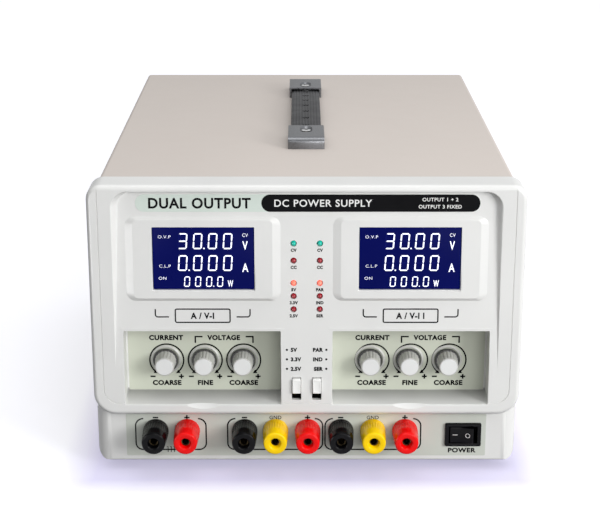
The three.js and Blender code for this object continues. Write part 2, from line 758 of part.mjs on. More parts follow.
// Fuse drawer that slides out of the inlet; its lip is pulled with a fingertip.
function makeFuseDrawer() {
  const lip = CASE_REAR + INLET.proud;
  const low = INLET.z - FUSE.low;
  const tray = slab(INLET.x, FUSE.x, CASE_REAR - FUSE.depth, lip - 0.6, low, INLET.z - FUSE.high);
  const bay = slab(INLET.x, 8, CASE_REAR - 15, CASE_REAR - 1, low + 1.7, INLET.z);
  const pull = slab(INLET.x, 5, lip - 1, lip, low + 0.7, low + 3.2);
  return tray.subtract(bay).add(pull);
}

// Mains transformer: a laminated core with two windows, its winding and its floor flange.
function makeTransformer() {
  const floor = INSIDE_FLOOR;
  const core = { half: 46, thick: 34, height: 96, leg: 18, window: 8, windowX: 26 };
  const laminations = slab(0, core.half, -core.thick, core.thick, floor, floor + core.height);
  const low = floor + core.leg;
  const high = floor + core.height - core.leg;
  const windows = [-1, 1].map((side) =>
    slab(side * core.windowX, core.window, -core.thick - 1, core.thick + 1, low, high),
  );
  const winding = slab(0, core.windowX + 7.5, -core.half, core.half, low + 1, high - 1);
  const flange = slab(0, core.half + 10, -core.thick, core.thick, floor, floor + 2.5);
  return cut(laminations, windows).add(winding).add(flange);
}

// Finned heat sink that stands behind the rear vent slots.
function makeHeatsink() {
  const sink = { width: 76, depth: 42, height: 88, base: 6, fins: 10, fin: 2, pitch: 7.8 };
  const pieces = [block(0, sink.width, 0, sink.base, 0, sink.height)];
  for (let i = 0; i < sink.fins; i += 1) {
    const x = sink.fin + i * sink.pitch;
    pieces.push(block(x, x + sink.fin, sink.base - 1, sink.depth, 0, sink.height));
  }
  return joined(pieces);
}

// Regulator board on four posts with its reservoir capacitors and power transistors.
function makeMainBoard() {
  const board = { width: 96, depth: 170, thick: 1.6, post: 3, inset: 5, lift: 8 };
  const bottom = INSIDE_FLOOR + board.lift;
  const top = bottom + board.thick;
  const pieces = [block(0, board.width, 0, board.depth, bottom, top)];
  for (const x of [board.inset, board.width - board.inset]) {
    for (const y of [board.inset, board.depth - board.inset]) {
      pieces.push(slab(x, board.post, y - board.post, y + board.post, INSIDE_FLOOR, bottom + 0.5));
    }
  }
  const capacitors = [
    { x: 20, y: 30, radius: 15, height: 46 },
    { x: 56, y: 30, radius: 15, height: 46 },
    { x: 20, y: 70, radius: 12, height: 38 },
    { x: 50, y: 70, radius: 12, height: 38 },
  ];
  for (const { x, y, radius, height } of capacitors) {
    const can = turnedAlongZ([[0, 0], [radius, 0], [radius, height], [0, height]], 16);
    pieces.push(can.translate([x, y, top - 0.5]));
  }
  const transistors = { count: 5, pitch: 15, x: 18, half: 6, y: 120, thick: 5, height: 19 };
  for (let i = 0; i < transistors.count; i += 1) {
    const x = transistors.x + i * transistors.pitch;
    const rear = transistors.y + transistors.thick;
    pieces.push(slab(x, transistors.half, transistors.y, rear, top - 0.5, top + transistors.height));
  }
  return joined(pieces);
}

// ---- assembly ----
const instrument = new THREE.Group();
instrument.position.y = (FRONT_REACH - REAR_REACH) / 2;

function place(name, made, material, x = 0, y = 0, z = 0) {
  const mesh = new THREE.Mesh(geometryOf(made), materials[material]);
  mesh.name = name;
  mesh.position.set(x, y, z);
  instrument.add(mesh);
  return mesh;
}

place('base_chassis', makeBaseChassis(), 'zinc');
place('top_cover', makeTopCover(), 'coverPaint');
place('rear_panel', makeRearPanel(), 'zinc');
place('front_bezel', makeFrontBezel(), 'ivory');
place('lower_fascia', makeLowerFascia(), 'ivory');

const foot = makeFoot();
for (const [side, x] of [['left', -104], ['right', 104]]) {
  place(`foot_front_${side}`, foot, 'rubber', x, CASE_FRONT + 40);
  place(`foot_rear_${side}`, foot, 'rubber', x, CASE_REAR - 30);
}

const handleCap = makeHandleCap();
const handleScrew = makeHandleScrew();
place('handle_strap', makeHandleStrap(), 'strap');
for (const [end, way] of [['front', -1], ['rear', 1]]) {
  const steelCap = place(`handle_cap_${end}`, handleCap, 'capSteel', 0, HANDLE.y + (way * HANDLE.length) / 2);
  steelCap.rotation.z = way > 0 ? Math.PI : 0;
  const screwY = HANDLE.y + way * HANDLE_SCREW.offset;
  place(`handle_screw_${end}`, handleScrew, 'screwSteel', 0, screwY, COVER.top);
}

const knob = makeKnob();
const display = makeDisplayModule();
const controlBoard = makeControlBoard();
const selector = makeSelectorButton();
for (const [side, sign] of [['left', -1], ['right', 1]]) {
  place(`lcd_module_${side}`, display, 'glass', sign * GLASS.x);
  place(`control_board_${side}`, controlBoard, 'board', knobX(sign, 0));
  ['current', 'voltage_fine', 'voltage_coarse'].forEach((use, i) => {
    place(`knob_${side}_${use}`, knob, 'knob', knobX(sign, KNOB_PLACES[i]), 0, KNOB.z);
  });
}
place('indicator_board', makeIndicatorBoard(), 'board');
place('selector_output_voltage', selector, 'slider', -SELECTOR.x);
place('selector_tracking_mode', selector, 'slider', SELECTOR.x);

const post = makeTerminalPost();
const bush = makeTerminalBush();
const cap = makeTerminalCap();
TERMINAL_X.forEach((x, i) => {
  const number = i + 1;
  place(`terminal_post_${number}`, post, 'nickel', x, 0, TERMINAL.z);
  place(`terminal_bush_${number}`, bush, 'nickel', x, 0, TERMINAL.z);
  place(`terminal_cap_${number}_${TERMINAL_COLOUR[i]}`, cap, TERMINAL_COLOUR[i], x, 0, TERMINAL.z);
});

place('power_switch_body', makeSwitchBody(), 'black');
// At rest the rocker's left side is pressed in.
const pivotY = FASCIA_FRONT + SWITCH.pivot;
const rocker = place('power_rocker', makeRocker(), 'black', SWITCH.x, pivotY, SWITCH.z);
rocker.rotation.z = THREE.MathUtils.degToRad(-SWITCH.tilt);

place('fan_frame', makeFanFrame(), 'black', FAN.x, 0, FAN.z);
const fanMiddle = CASE_REAR - REAR_SHEET - FAN.depth / 2 - 3;
place('fan_impeller', makeFanImpeller(), 'black', FAN.x, fanMiddle, FAN.z);
place('power_inlet', makePowerInlet(), 'black');
place('fuse_drawer', makeFuseDrawer(), 'black');
place('transformer', makeTransformer(), 'iron', -52, 0);
place('heatsink', makeHeatsink(), 'aluminium', 14, 100, 84);
place('main_board', makeMainBoard(), 'board', 18, -110);

export default instrument;
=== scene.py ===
# Bench power supply: the visual model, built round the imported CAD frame.
# Shapes are written in millimetres in the row frame and turned into metres when a mesh is made.
import json
import math

import bmesh
import bpy
from mathutils import Matrix, Vector

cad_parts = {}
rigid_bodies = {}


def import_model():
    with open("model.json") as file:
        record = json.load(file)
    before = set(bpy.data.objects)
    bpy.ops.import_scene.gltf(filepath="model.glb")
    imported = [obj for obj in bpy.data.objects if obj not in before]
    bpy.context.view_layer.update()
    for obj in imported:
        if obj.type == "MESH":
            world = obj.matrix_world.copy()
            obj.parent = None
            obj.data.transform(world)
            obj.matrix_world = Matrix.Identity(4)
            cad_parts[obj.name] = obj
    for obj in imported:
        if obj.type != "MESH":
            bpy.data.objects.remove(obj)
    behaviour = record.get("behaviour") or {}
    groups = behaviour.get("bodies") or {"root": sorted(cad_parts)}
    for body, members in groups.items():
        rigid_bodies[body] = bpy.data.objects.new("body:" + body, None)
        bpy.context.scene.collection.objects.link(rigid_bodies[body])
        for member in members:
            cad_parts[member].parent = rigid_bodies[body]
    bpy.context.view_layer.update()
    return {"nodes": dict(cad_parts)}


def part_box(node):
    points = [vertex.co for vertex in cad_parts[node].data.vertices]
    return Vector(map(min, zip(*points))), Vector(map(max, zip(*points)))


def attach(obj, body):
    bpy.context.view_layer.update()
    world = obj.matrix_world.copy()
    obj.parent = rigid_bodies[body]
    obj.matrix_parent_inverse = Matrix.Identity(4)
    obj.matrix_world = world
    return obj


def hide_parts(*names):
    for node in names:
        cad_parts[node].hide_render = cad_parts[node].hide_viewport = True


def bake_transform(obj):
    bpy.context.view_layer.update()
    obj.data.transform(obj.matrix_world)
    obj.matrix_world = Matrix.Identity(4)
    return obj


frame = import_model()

MM = 0.001


# ---- places, from the frame ----

def corners(node):
    low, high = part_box(node)
    return low / MM, high / MM


def centre(node):
    low, high = corners(node)
    return (low + high) / 2


BEZEL_LOW, BEZEL_HIGH = corners("front_bezel")
FASCIA_LOW, FASCIA_HIGH = corners("lower_fascia")
COVER_LOW, COVER_HIGH = corners("top_cover")
PANEL_HIGH = corners("rear_panel")[1]
FRONT = BEZEL_LOW.y          # the bezel's front plane
PANEL = FASCIA_LOW.y         # the lower fascia's front plane
SHEET = 1.2                  # thickness of the case's sheet steel
MOULDED_WALL = 3.0           # of the bezel and the fascia

# The sunk face leans back: it is deepest at its top and meets the front plane at its bottom.
FACE = dict(half=113.6, low=73, high=185.5, sink=5, flare=4.9)
POCKET = dict(half=48.5, low=49, high=97, deep=20, wall=1.8)
POCKET_FLOOR = FRONT + POCKET["deep"]
CHANNELS = {"left": -64.5, "right": 64.5}
DIALS = {"left": -64.1, "right": 65.9}  # the middle one of each channel's three printed dials
DIAL_PITCH = 24.35
KNOB_USES = ("current", "voltage_fine", "voltage_coarse")
SURROUND = dict(x=63.2, half=47.5, low=116.4, high=169.7, proud=1.5)
GLASS = dict(x=62.9, half=30.75, low=123.8, high=163.0)
LAMP_ROWS = (152.8, 142.0, 127.8, 119.5, 111.1)
LAMP_X = 8
SELECTOR_X = 6.3
KNOB_HOLE = 5.1              # radius of the hole behind a knob
POCKET_SHADE_HEIGHTS = 0.0512, 0.0522      # heights in metres over which the painted shade on a pocket's lower wall runs out
TERMINALS = ("black", "red", "black", "yellow", "red", "black", "yellow", "red")


def face_y(z):
    """The sunk face's y at a height."""
    return FRONT + FACE["sink"] * (z - FACE["low"]) / (FACE["high"] - FACE["low"])


# ---- materials ----

def linear(color):
    """A screen colour of 0 to 255 as linear light."""
    values = [value / 255 for value in color]
    return *[v / 12.92 if v <= 0.04045 else ((v + 0.055) / 1.055) ** 2.4 for v in values], 1.0


class Graph:
    """A node tree with a short way to add and link nodes."""

    def __init__(self, owner):
        owner.use_nodes = True
        self.tree = owner.node_tree

    def add(self, kind, **values):
        node = self.tree.nodes.new(kind)
        for key, value in values.items():
            if key in node.inputs:
                node.inputs[key].default_value = value
            else:
                setattr(node, key, value)
        return node

    def link(self, value, socket):
        """Feeds a socket with a node's output, a number or a colour."""
        if isinstance(value, bpy.types.NodeSocket):
            self.tree.links.new(value, socket)
        else:
            socket.default_value = value

    def ranged(self, source, low, high, source_low=0.3, source_high=0.7):
        ranged = self.add("ShaderNodeMapRange")
        for key, value in zip(
            ("From Min", "From Max", "To Min", "To Max"), (source_low, source_high, low, high)
        ):
            ranged.inputs[key].default_value = value
        self.link(source, ranged.inputs["Value"])
        return ranged.outputs["Result"]


class Nodes(Graph):
    """The node tree of a new material, or of one that is worked on further."""

    def __init__(self, name, material=None):
        self.material = material or bpy.data.materials.new(name)
        super().__init__(self.material)
        self.shader = self.tree.nodes["Principled BSDF"]
        self.place = self.add("ShaderNodeTexCoord").outputs["Object"]

    def feed(self, key, value):
        self.link(value, self.shader.inputs[key])

    def axes(self):
        axes = self.add("ShaderNodeSeparateXYZ")
        self.link(self.place, axes.inputs["Vector"])
        return axes.outputs

    def noise(self, scale, detail=3.0, stretch=(1, 1, 1)):
        mapping = self.add("ShaderNodeMapping", Scale=stretch)
        self.link(self.place, mapping.inputs["Vector"])
        noise = self.add("ShaderNodeTexNoise", Scale=scale, Detail=detail)
        self.link(mapping.outputs["Vector"], noise.inputs["Vector"])
        return noise.outputs["Fac"]

    def mixed(self, factor, first, second):
        mix = self.add("ShaderNodeMix", data_type="RGBA")
        for key, value in (("Factor", factor), ("A", first), ("B", second)):
            self.link(value, mix.inputs[key])
        return mix.outputs["Result"]

    def tinted(self, source, color, less, more):
        """A screen colour that wanders between two shades of itself."""
        return self.mixed(self.ranged(source, 0, 1), shade(color, less), shade(color, more))

    def counted(self, operation, *values):
        """A sum node; each value is a number or a node's output."""
        node = self.add("ShaderNodeMath", operation=operation)
        for socket, value in zip(node.inputs, values):
            self.link(value, socket)
        return node.outputs["Value"]

    def bump(self, height, strength, distance):
        bump = self.add("ShaderNodeBump", Strength=strength, Distance=distance)
        self.link(height, bump.inputs["Height"])
        self.feed("Normal", bump.outputs["Normal"])


def shade(color, factor):
    """A screen colour as linear light, dimmed or brightened by a factor."""
    return tuple(min(1.0, c * factor) for c in linear(color)[:3]) + (1.0,)


def moulded(name, color, roughness, variation=0.03, grain=2600, bump=0.08, specular=0.5):
    """Moulded plastic: faint blotches of colour and gloss and a fine tool texture."""
    made = Nodes(name)
    made.feed("Base Color", made.tinted(made.noise(22, 4), color, 1 - variation, 1 + variation))
    made.feed("Roughness", made.ranged(made.noise(140, 5), roughness * 0.88, roughness * 1.12))
    made.feed("Specular IOR Level", specular)
    made.bump(made.noise(grain, 2), bump, 0.00006)
    return made.material


def moulded_with_pocket_shade(name, color, roughness):
    """Moulded plastic with painted shade deep in its knob pockets, along their lower walls."""
    made = Nodes(name, moulded(name, color, roughness))
    axes = made.axes()
    inward = made.ranged(axes["Y"], 0, 1, (FRONT + 1) * MM, (FRONT + 18) * MM)
    low = made.ranged(axes["Z"], 1, 0, *POCKET_SHADE_HEIGHTS)
    plain = made.shader.inputs["Base Color"].links[0].from_socket
    # Painted shade: the plastic falls to half its brightness deep in a pocket and low on its lower wall.
    made.feed("Base Color", made.mixed(made.counted("MULTIPLY", inward, low), plain, shade(color, 0.5)))
    return made.material


def powder_coat(name, color):
    """Powder-coated steel: orange-peel bumps, fine speckle and a little handling grime."""
    made = Nodes(name)
    grime = made.noise(9, 6, (1, 0.35, 1))
    tone = made.tinted(made.noise(5200, 1), color, 0.97, 1.03)
    made.feed("Base Color", made.mixed(made.ranged(grime, 0, 0.5, 0.45, 0.8), tone, shade(color, 0.93)))
    made.feed("Roughness", made.ranged(made.noise(60, 4), 0.6, 0.7))
    made.feed("Specular IOR Level", 0.3)
    made.bump(made.noise(1500, 2), 0.16, 0.0001)
    return made.material


def metal(name, color, roughness, brush=None, stain=0.06):
    """Metal with faint stains; brush stretches its grain along one axis."""
    made = Nodes(name)
    made.feed("Metallic", 1.0)
    made.feed("Base Color", made.tinted(made.noise(40, 5), color, 1 - stain, 1 + stain))
    grain = made.noise(900, 4, brush or (1, 1, 1))
    made.feed("Roughness", made.ranged(grain, roughness * 0.75, roughness * 1.3))
    made.bump(grain, 0.12 if brush else 0.04, 0.00005)
    return made.material


def glowing(name, color, strength, gloss=0.25, base=None, specular=0.5):
    """A lit surface under a clear skin, with a slight fall-off of its light."""
    made = Nodes(name)
    made.feed("Base Color", linear(base or color))
    made.feed("Roughness", made.ranged(made.noise(35, 2), gloss * 0.8, gloss * 1.2))
    made.feed("Emission Color", made.tinted(made.noise(45, 2), color, 0.93, 1.05))
    made.feed("Emission Strength", strength)
    made.feed("Specular IOR Level", specular)
    return made.material


COVER_PAINT = powder_coat("cover_paint", (207, 198, 191))
IVORY = moulded("ivory_plastic", (222, 222, 220), 0.36)
BEZEL_IVORY = moulded_with_pocket_shade("bezel_plastic", (222, 222, 220), 0.36)
ZINC = metal("zinc_steel", (196, 198, 200), 0.34)
DARK_STEEL = metal("brushed_cap_steel", (124, 125, 128), 0.32, (1, 14, 1))
BRIGHT = metal("bright_screw_steel", (226, 226, 226), 0.2)
NICKEL = metal("nickel_plate", (222, 214, 196), 0.22)
IRON = metal("core_iron", (92, 92, 96), 0.55)
ALUMINIUM = metal("aluminium", (196, 198, 202), 0.4, (1, 1, 12))
RUBBER = moulded("rubber", (24, 24, 25), 0.8, 0.2, 900, 0.3)
STRAP = moulded("strap_rubber", (52, 52, 54), 0.5, 0.1, 1400, 0.25, 0.35)
KNOB_GREY = moulded("knob_grey", (196, 196, 192), 0.34)
KNOB_WHITE = moulded("knob_white", (226, 227, 226), 0.34)
# The knobs' skirts are dark as painted shade for the shadowed gap under each knob.
KNOB_SKIRT_SHADE = moulded("knob_skirt_shaded", (58, 58, 56), 0.22, 0.08)
WHITE = moulded("white_plastic", (240, 240, 238), 0.3)
BLACK = moulded("black_plastic", (5, 5, 7), 0.18, 0.15, 1800, 0.1, 0.12)
RED = moulded("red_plastic", (238, 6, 6), 0.22, 0.06, specular=0.2)
YELLOW = moulded("yellow_plastic", (253, 208, 0), 0.22, 0.05, specular=0.2)
# Plated socket metal, darkened as painted shade for the inside of the sockets' bores.
SHADED_SOCKET_METAL = metal("socket_plate_shaded", (96, 84, 62), 0.28)
FAN_BLACK = moulded("fan_plastic", (30, 30, 32), 0.55, 0.15)
BOARD = moulded("circuit_board", (34, 96, 62), 0.35, 0.12, 400, 0.1)
FILM_GREEN = moulded("overlay_film", (208, 219, 211), 0.46)
FILM_FASCIA = moulded("overlay_film_terminals", (196, 200, 191), 0.46)
FILM_POCKET = moulded("overlay_film_pocket", (196, 200, 185), 0.5)
INK = moulded("printed_ink_black", (7, 7, 9), 0.55, 0.1, specular=0.06)
INK_WHITE = moulded("printed_ink_white", (238, 238, 236), 0.5)
SCREEN = glowing("screen_blue", (4, 12, 92), 0.75, 0.3, (1, 2, 26), 0.03)
SEGMENT_ON = glowing("segment_lit", (234, 236, 250), 0.9, specular=0.1)
SEGMENT_OFF = glowing("segment_unlit", (12, 20, 104), 0.75, 0.3, (2, 3, 30), 0.03)
LAMP_TEAL = glowing("lamp_teal", (10, 170, 150), 0.45, 0.15)
LAMP_RED = glowing("lamp_dark_red", (150, 12, 30), 0.25, 0.15)
LAMP_LIT = glowing("lamp_lit", (255, 120, 100), 0.8, 0.2)


# ---- mesh tools ----


def as_object(name, bm):
    """A bmesh becomes an object in the scene."""
    bmesh.ops.recalc_face_normals(bm, faces=bm.faces)
    mesh = bpy.data.meshes.new(name)
    bm.to_mesh(mesh)
    bm.free()
    thing = bpy.data.objects.new(name, mesh)
    bpy.context.scene.collection.objects.link(thing)
    return thing


def as_piece(name, bm, material, sharp):
    """A bmesh in millimetres becomes a smooth object in metres with edges sharp from an angle."""
    piece = as_object(name, bm)
    mesh = piece.data
    mesh.transform(Matrix.Scale(MM, 4))
    for polygon in mesh.polygons:
        polygon.use_smooth = True
    mesh.set_sharp_from_angle(angle=math.radians(sharp))
    mesh.materials.append(material)
    return piece


def add_piece(name, bm, material, body="root", replaces=(), sharp=32, weighted=False):
    """A bmesh in millimetres becomes a named piece in metres that rides on a body."""
    bmesh.ops.remove_doubles(bm, verts=bm.verts, dist=1e-4)
    piece = as_piece(name, bm, material, sharp)
    if weighted:
        piece.modifiers.new("weighted", "WEIGHTED_NORMAL").keep_sharp = True
    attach(piece, body)
    if replaces:
        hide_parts(*replaces)
    return piece


def loft(rings, closed=False):
    """Rings of equally many points joined in order; the ends are capped, or the last ring joins the first."""
    bm = bmesh.new()
    made = [[bm.verts.new(point) for point in ring] for ring in rings]
    count = len(rings[0])
    pairs = list(zip(made, made[1:]))
    if closed:
        pairs.append((made[-1], made[0]))
    for first, second in pairs:
        for i in range(count):
            j = (i + 1) % count
            bm.faces.new((first[i], first[j], second[j], second[i]))
    if not closed:
        bm.faces.new(made[0])
        bm.faces.new(made[-1])
    return bm


def arc(x, z, radius, start, end, steps):
    """(x, z) points along an arc, angles in degrees from +X."""
    turns = [math.radians(start + (end - start) * i / steps) for i in range(steps + 1)]
    return [(x + radius * math.cos(turn), z + radius * math.sin(turn)) for turn in turns]


def rounded(x0, x1, z0, z1, low, high=None, steps=6):
    """A rounded rectangle as (x, z) points; low and high are its lower and upper corner radii."""
    high = low if high is None else high
    points = []
    for x, z, radius, start in (
        (x1 - low, z0 + low, low, -90),
        (x1 - high, z1 - high, high, 0),
        (x0 + high, z1 - high, high, 90),
        (x0 + low, z0 + low, low, 180),
    ):
        points += arc(x, z, radius, start, start + 90, steps)
    return points


def circle(x, z, radius, steps=48):
    turn = math.tau / steps
    return [(x + radius * math.cos(i * turn), z + radius * math.sin(i * turn)) for i in range(steps)]


def at(outline, y):
    """An (x, z) outline as a ring at a y, which may depend on the height."""
    return [(x, y(z) if callable(y) else y, z) for x, z in outline]


def prism(outline, y_front, y_back):
    return loft([at(outline, y_front), at(outline, y_back)])


def soft_plate(bounds, y_front, y_back, low, high=None, edge=1.0, steps=6, fillet=5):
    """A front-facing plate whose front edge is rounded by a radius."""
    x0, x1, z0, z1 = bounds
    high = low if high is None else high
    rings = [at(rounded(x0, x1, z0, z1, low, high, steps), y_back)]
    for i in range(fillet + 1):
        angle = math.radians(90 * i / fillet)
        inset = edge * (1 - math.cos(angle))
        radii = max(low - inset, 0.05), max(high - inset, 0.05)
        outline = rounded(x0 + inset, x1 - inset, z0 + inset, z1 - inset, *radii, steps)
        rings.append(at(outline, y_front + edge * (1 - math.sin(angle))))
    return loft(rings)


def softened(reach, edge=0.5):
    """Places across a piece of half width reach, each with its inset, that round the two edges."""
    half = [(reach, edge), (reach - 0.15, 0.15), (reach - edge, 0)]
    return [(-place, inset) for place, inset in half] + half[::-1]


def based(points, base):
    """Profile points whose second number counts from a base."""
    return [[radius, base + along] for radius, along in points]


def bore(bounds, radius, y_front, y_back, lip=0.4, steps=6):
    """A cutter for an opening whose mouth is rounded by a lip."""
    x0, x1, z0, z1 = bounds
    rings = []
    for grow, y in ((lip + 0.3, y_front - 3), (lip + 0.3, y_front - 0.02), (lip * 0.3, y_front + lip * 0.3),
                    (0, y_front + lip), (0, y_back)):
        outline = rounded(x0 - grow, x1 + grow, z0 - grow, z1 + grow, radius + grow, None, steps)
        rings.append(at(outline, y))
    return loft(rings)


def lathe(profile, middle, steps=64, axis="y", ribs=None):
    """A turned piece about Y or Z; a profile point is [radius, place along the axis].
    ribs(i, angle) may return a change of radius for a profile point at an angle."""
    bm = bmesh.new()
    rings = []
    for i, (radius, along) in enumerate(profile):
        ring = []
        for k in range(steps):
            angle = k * math.tau / steps
            reach = radius + (ribs(i, angle) if ribs else 0)
            u, v = reach * math.cos(angle), reach * math.sin(angle)
            if axis == "y":
                ring.append(bm.verts.new((middle[0] + u, along, middle[2] + v)))
            else:
                ring.append(bm.verts.new((middle[0] + u, middle[1] + v, along)))
        rings.append(ring)
    closed = profile[0] == profile[-1]
    for first, second in zip(rings, rings[1:]):
        for k in range(steps):
            j = (k + 1) % steps
            bm.faces.new((first[k], first[j], second[j], second[k]))
    if not closed:
        for ring, (radius, _) in ((rings[0], profile[0]), (rings[-1], profile[-1])):
            if radius > 0:
                bm.faces.new(ring)
    return bm


def box_mesh(x0, x1, y0, y1, z0, z1, edge=0.0, segments=2):
    """A box, with its edges rounded if edge is given."""
    made = bmesh.new()
    verts = [made.verts.new((x, y, z)) for x in (x0, x1) for y in (y0, y1) for z in (z0, z1)]
    for face in ((0, 1, 3, 2), (4, 6, 7, 5), (0, 4, 5, 1), (2, 3, 7, 6), (0, 2, 6, 4), (1, 5, 7, 3)):
        made.faces.new([verts[i] for i in face])
    bmesh.ops.recalc_face_normals(made, faces=made.faces)
    if edge:
        bmesh.ops.bevel(
            made, geom=list(made.edges), offset=edge, segments=segments, affect="EDGES", profile=0.5
        )
    return made


def merged(meshes):
    """Several bmeshes as one."""
    whole = bmesh.new()
    for bm in meshes:
        part = bpy.data.meshes.new("part")
        bm.to_mesh(part)
        bm.free()
        whole.from_mesh(part)
        bpy.data.meshes.remove(part)
    return whole


def carved(base, tools, union=(), keep=None):
    """base with the union meshes joined and the tools cut away, inside keep, by exact booleans."""
    body = as_object("cutter", base)
    others = []
    for operation, meshes in (("UNION", union), ("DIFFERENCE", tools), ("INTERSECT", [keep] if keep else [])):
        for bm in meshes:
            others.append(as_object("cutter", bm))
            modifier = body.modifiers.new("cut", "BOOLEAN")
            modifier.operation = operation
            modifier.solver = "EXACT"
            modifier.object = others[-1]
    bpy.context.view_layer.update()
    evaluated = body.evaluated_get(bpy.context.evaluated_depsgraph_get())
    result = bmesh.new()
    result.from_mesh(evaluated.to_mesh())
    evaluated.to_mesh_clear()
    for thing in [body, *others]:
        bpy.data.objects.remove(thing)
    bmesh.ops.dissolve_degenerate(result, dist=1e-3, edges=result.edges)
    return result


# ---- prints ----

INK_DEPTH = 0.06


def thickened(bm, surface, depth):
    """Flat (x, z) faces become a thin solid that stands out of a surface given as y over (x, z)."""
    bmesh.ops.triangulate(bm, faces=bm.faces)
    for vertex in bm.verts:
        vertex.co.y = surface(vertex.co.x, vertex.co.z)
    grown = bmesh.ops.extrude_face_region(bm, geom=list(bm.faces))
    for item in grown["geom"]:
        if isinstance(item, bmesh.types.BMVert):
            item.co.y -= depth
    return bm


def raised(bm, y):
    """A print on a surface at y, which may depend on the height."""
    return thickened(bm, lambda _, z: (y(z) if callable(y) else y) - 0.005, INK_DEPTH)


LETTER_SPACING = 1.1


def lettering(text, x, z, height, weight=0.0, align="CENTER", stretch=1.0):
    """Flat faces of a line of text whose capitals have the given height; (x, z) is its middle or left end."""
    curve = bpy.data.curves.new("text", "FONT")
    curve.body = text
    curve.size = height / 0.7
    curve.align_x = align
    curve.offset = weight
    curve.space_character = LETTER_SPACING
    curve.resolution_u = 4
    thing = bpy.data.objects.new("text", curve)
    bpy.context.scene.collection.objects.link(thing)
    bpy.context.view_layer.update()
    mesh = bpy.data.meshes.new_from_object(thing.evaluated_get(bpy.context.evaluated_depsgraph_get()))
    bm = bmesh.new()
    bm.from_mesh(mesh)
    for vertex in bm.verts:
        flat_x, flat_y = vertex.co.x, vertex.co.y
        vertex.co = (x + flat_x * stretch / LETTER_SPACING, 0, z - height / 2 + flat_y)
    bpy.data.objects.remove(thing)
    bpy.data.curves.remove(curve)
    bpy.data.meshes.remove(mesh)
    return bm


def stroke(points, width, closed=False):
    """A line of even width through (x, z) points, with mitred joints."""
    bm = bmesh.new()
    count = len(points)
    sides = []
    for i, point in enumerate(points):
        here = Vector(point)
        before = Vector(points[i - 1]) if i or closed else None
        after = Vector(points[(i + 1) % count]) if i < count - 1 or closed else None
        into = (here - before).normalized() if before is not None else None
        out = (after - here).normalized() if after is not None else None
        direction = (into or out) + (out or into)
        direction.normalize()
        normal = Vector((-direction.y, direction.x))
        spread = 1 / max(0.4, normal.dot(Vector((-(out or into).y, (out or into).x))))
        offset = normal * (width / 2) * spread
        sides.append([bm.verts.new((p.x, 0, p.y)) for p in (here + offset, here - offset)])
    pairs = list(zip(sides, sides[1:]))
    if closed:
        pairs.append((sides[-1], sides[0]))
    for (a, b), (c, d) in pairs:
        bm.faces.new((a, b, d, c))
    return bm


def filled(points):
    """One flat face through (x, z) points."""
    bm = bmesh.new()
    bm.faces.new([bm.verts.new((x, 0, z)) for x, z in points])
    return bm


def add_print(name, flats, y, material):
    return add_piece(name, raised(merged(flats), y), material, sharp=20)


# ---- case ----

def build_cover():
    bend = 3.0
    half, top, bottom = COVER_HIGH.x, COVER_HIGH.z, COVER_LOW.z

    def section(inset, radius):
        x, z = half - inset, top - inset
        right = arc(x - radius, z - radius, radius, 0, 90, 8)
        left = arc(-x + radius, z - radius, radius, 90, 180, 8)
        return [(x, bottom), *right, *left, (-x, bottom)]

    outline = section(0, bend) + section(SHEET, bend - SHEET)[::-1]
    shell = prism(outline, COVER_LOW.y, COVER_HIGH.y)
    vents = []
    for i in range(12):
        y = COVER_HIGH.y - 30 - i * 9
        slot_points = [(y + u, v) for u, v in rounded(-1.6, 1.6, 70, 118, 1.55, None, 4)]
        vents.append(loft([[(side, u, v) for u, v in slot_points] for side in (-half - 2, half + 2)]))
    add_piece("cover_shell", carved(shell, vents), COVER_PAINT, replaces=["top_cover"])


def pocket_bore(middle):
    """The space of a knob pocket: its lower wall rises and its side walls spread towards the floor."""
    rings = []
    for depth, spread in ((-1, 0.7), (0, 0.7), (0.2, 0.25), (0.7, 0), (POCKET["deep"], 0)):
        taper = max(depth, 0) / POCKET["deep"]
        reach = POCKET["half"] + spread + 0.6 * taper
        low = POCKET["low"] - 0.5 - spread + 1.7 * taper
        outline = rounded(middle - reach, middle + reach, low, POCKET["high"] + spread, 0.8)
        rings.append(at(outline, FRONT + depth))
    return loft(rings)


def finger_scoop(middle):
    """A ball that takes a shallow lens off the pocket's lower lip."""
    radius = 43.3
    place = Vector((middle, FRONT - 35, POCKET["low"] + 22))
    return lathe(arc(0, place.y, radius, -90, 90, 48), place, 96)


def display_surround(x):
    """The pillow-shaped frame that stands proud of the sunk face round a display."""
    rings = []
    for t, lift in ((0, -0.1), (0.06, 0.02), (0.14, 0.12), (0.86, 0.9), (0.94, 0.97), (1.0, 1.0)):
        rise = SURROUND["proud"] * lift
        side_inset, level_inset = 5.4 * t, 2.2 * t
        reach = SURROUND["half"] - side_inset
        outline = rounded(x - reach, x + reach, SURROUND["low"] + level_inset,
                          SURROUND["high"] - level_inset, 6 - 3.4 * t)
        rings.append([(px, face_y(pz) - rise, pz) for px, pz in outline])
    return loft([[(px, py + 2.0, pz) for px, py, pz in rings[0]], *rings])


def face_recess():
    """The space over the sunk face: its side walls slope evenly and run out as it gets shallower."""
    rings = []
    for t in (0, 0.08, 0.2, 0.35, 0.5, 0.65, 0.8, 0.92, 1.0):
        eased = 3 * t * t - 2 * t ** 3
        reach = FACE["half"] + FACE["flare"] * t
        outline = rounded(-reach, reach, FACE["low"], FACE["high"] + 0.8 * t, 0.4, 9 + 1.4 * t, 8)
        ring = []
        for x, z in outline:
            depth = min(max(face_y(z) - FRONT, 0), FACE["sink"])
            spread = FACE["flare"] * (1 - t) * (1 - depth / FACE["sink"])
            ring.append((x + math.copysign(spread, x), FRONT + depth * (1 - eased) - 0.04 * eased, z))
        rings.append(ring)
    return loft([*rings, [(x, FRONT - 4, z) for x, _, z in rings[-1]]])


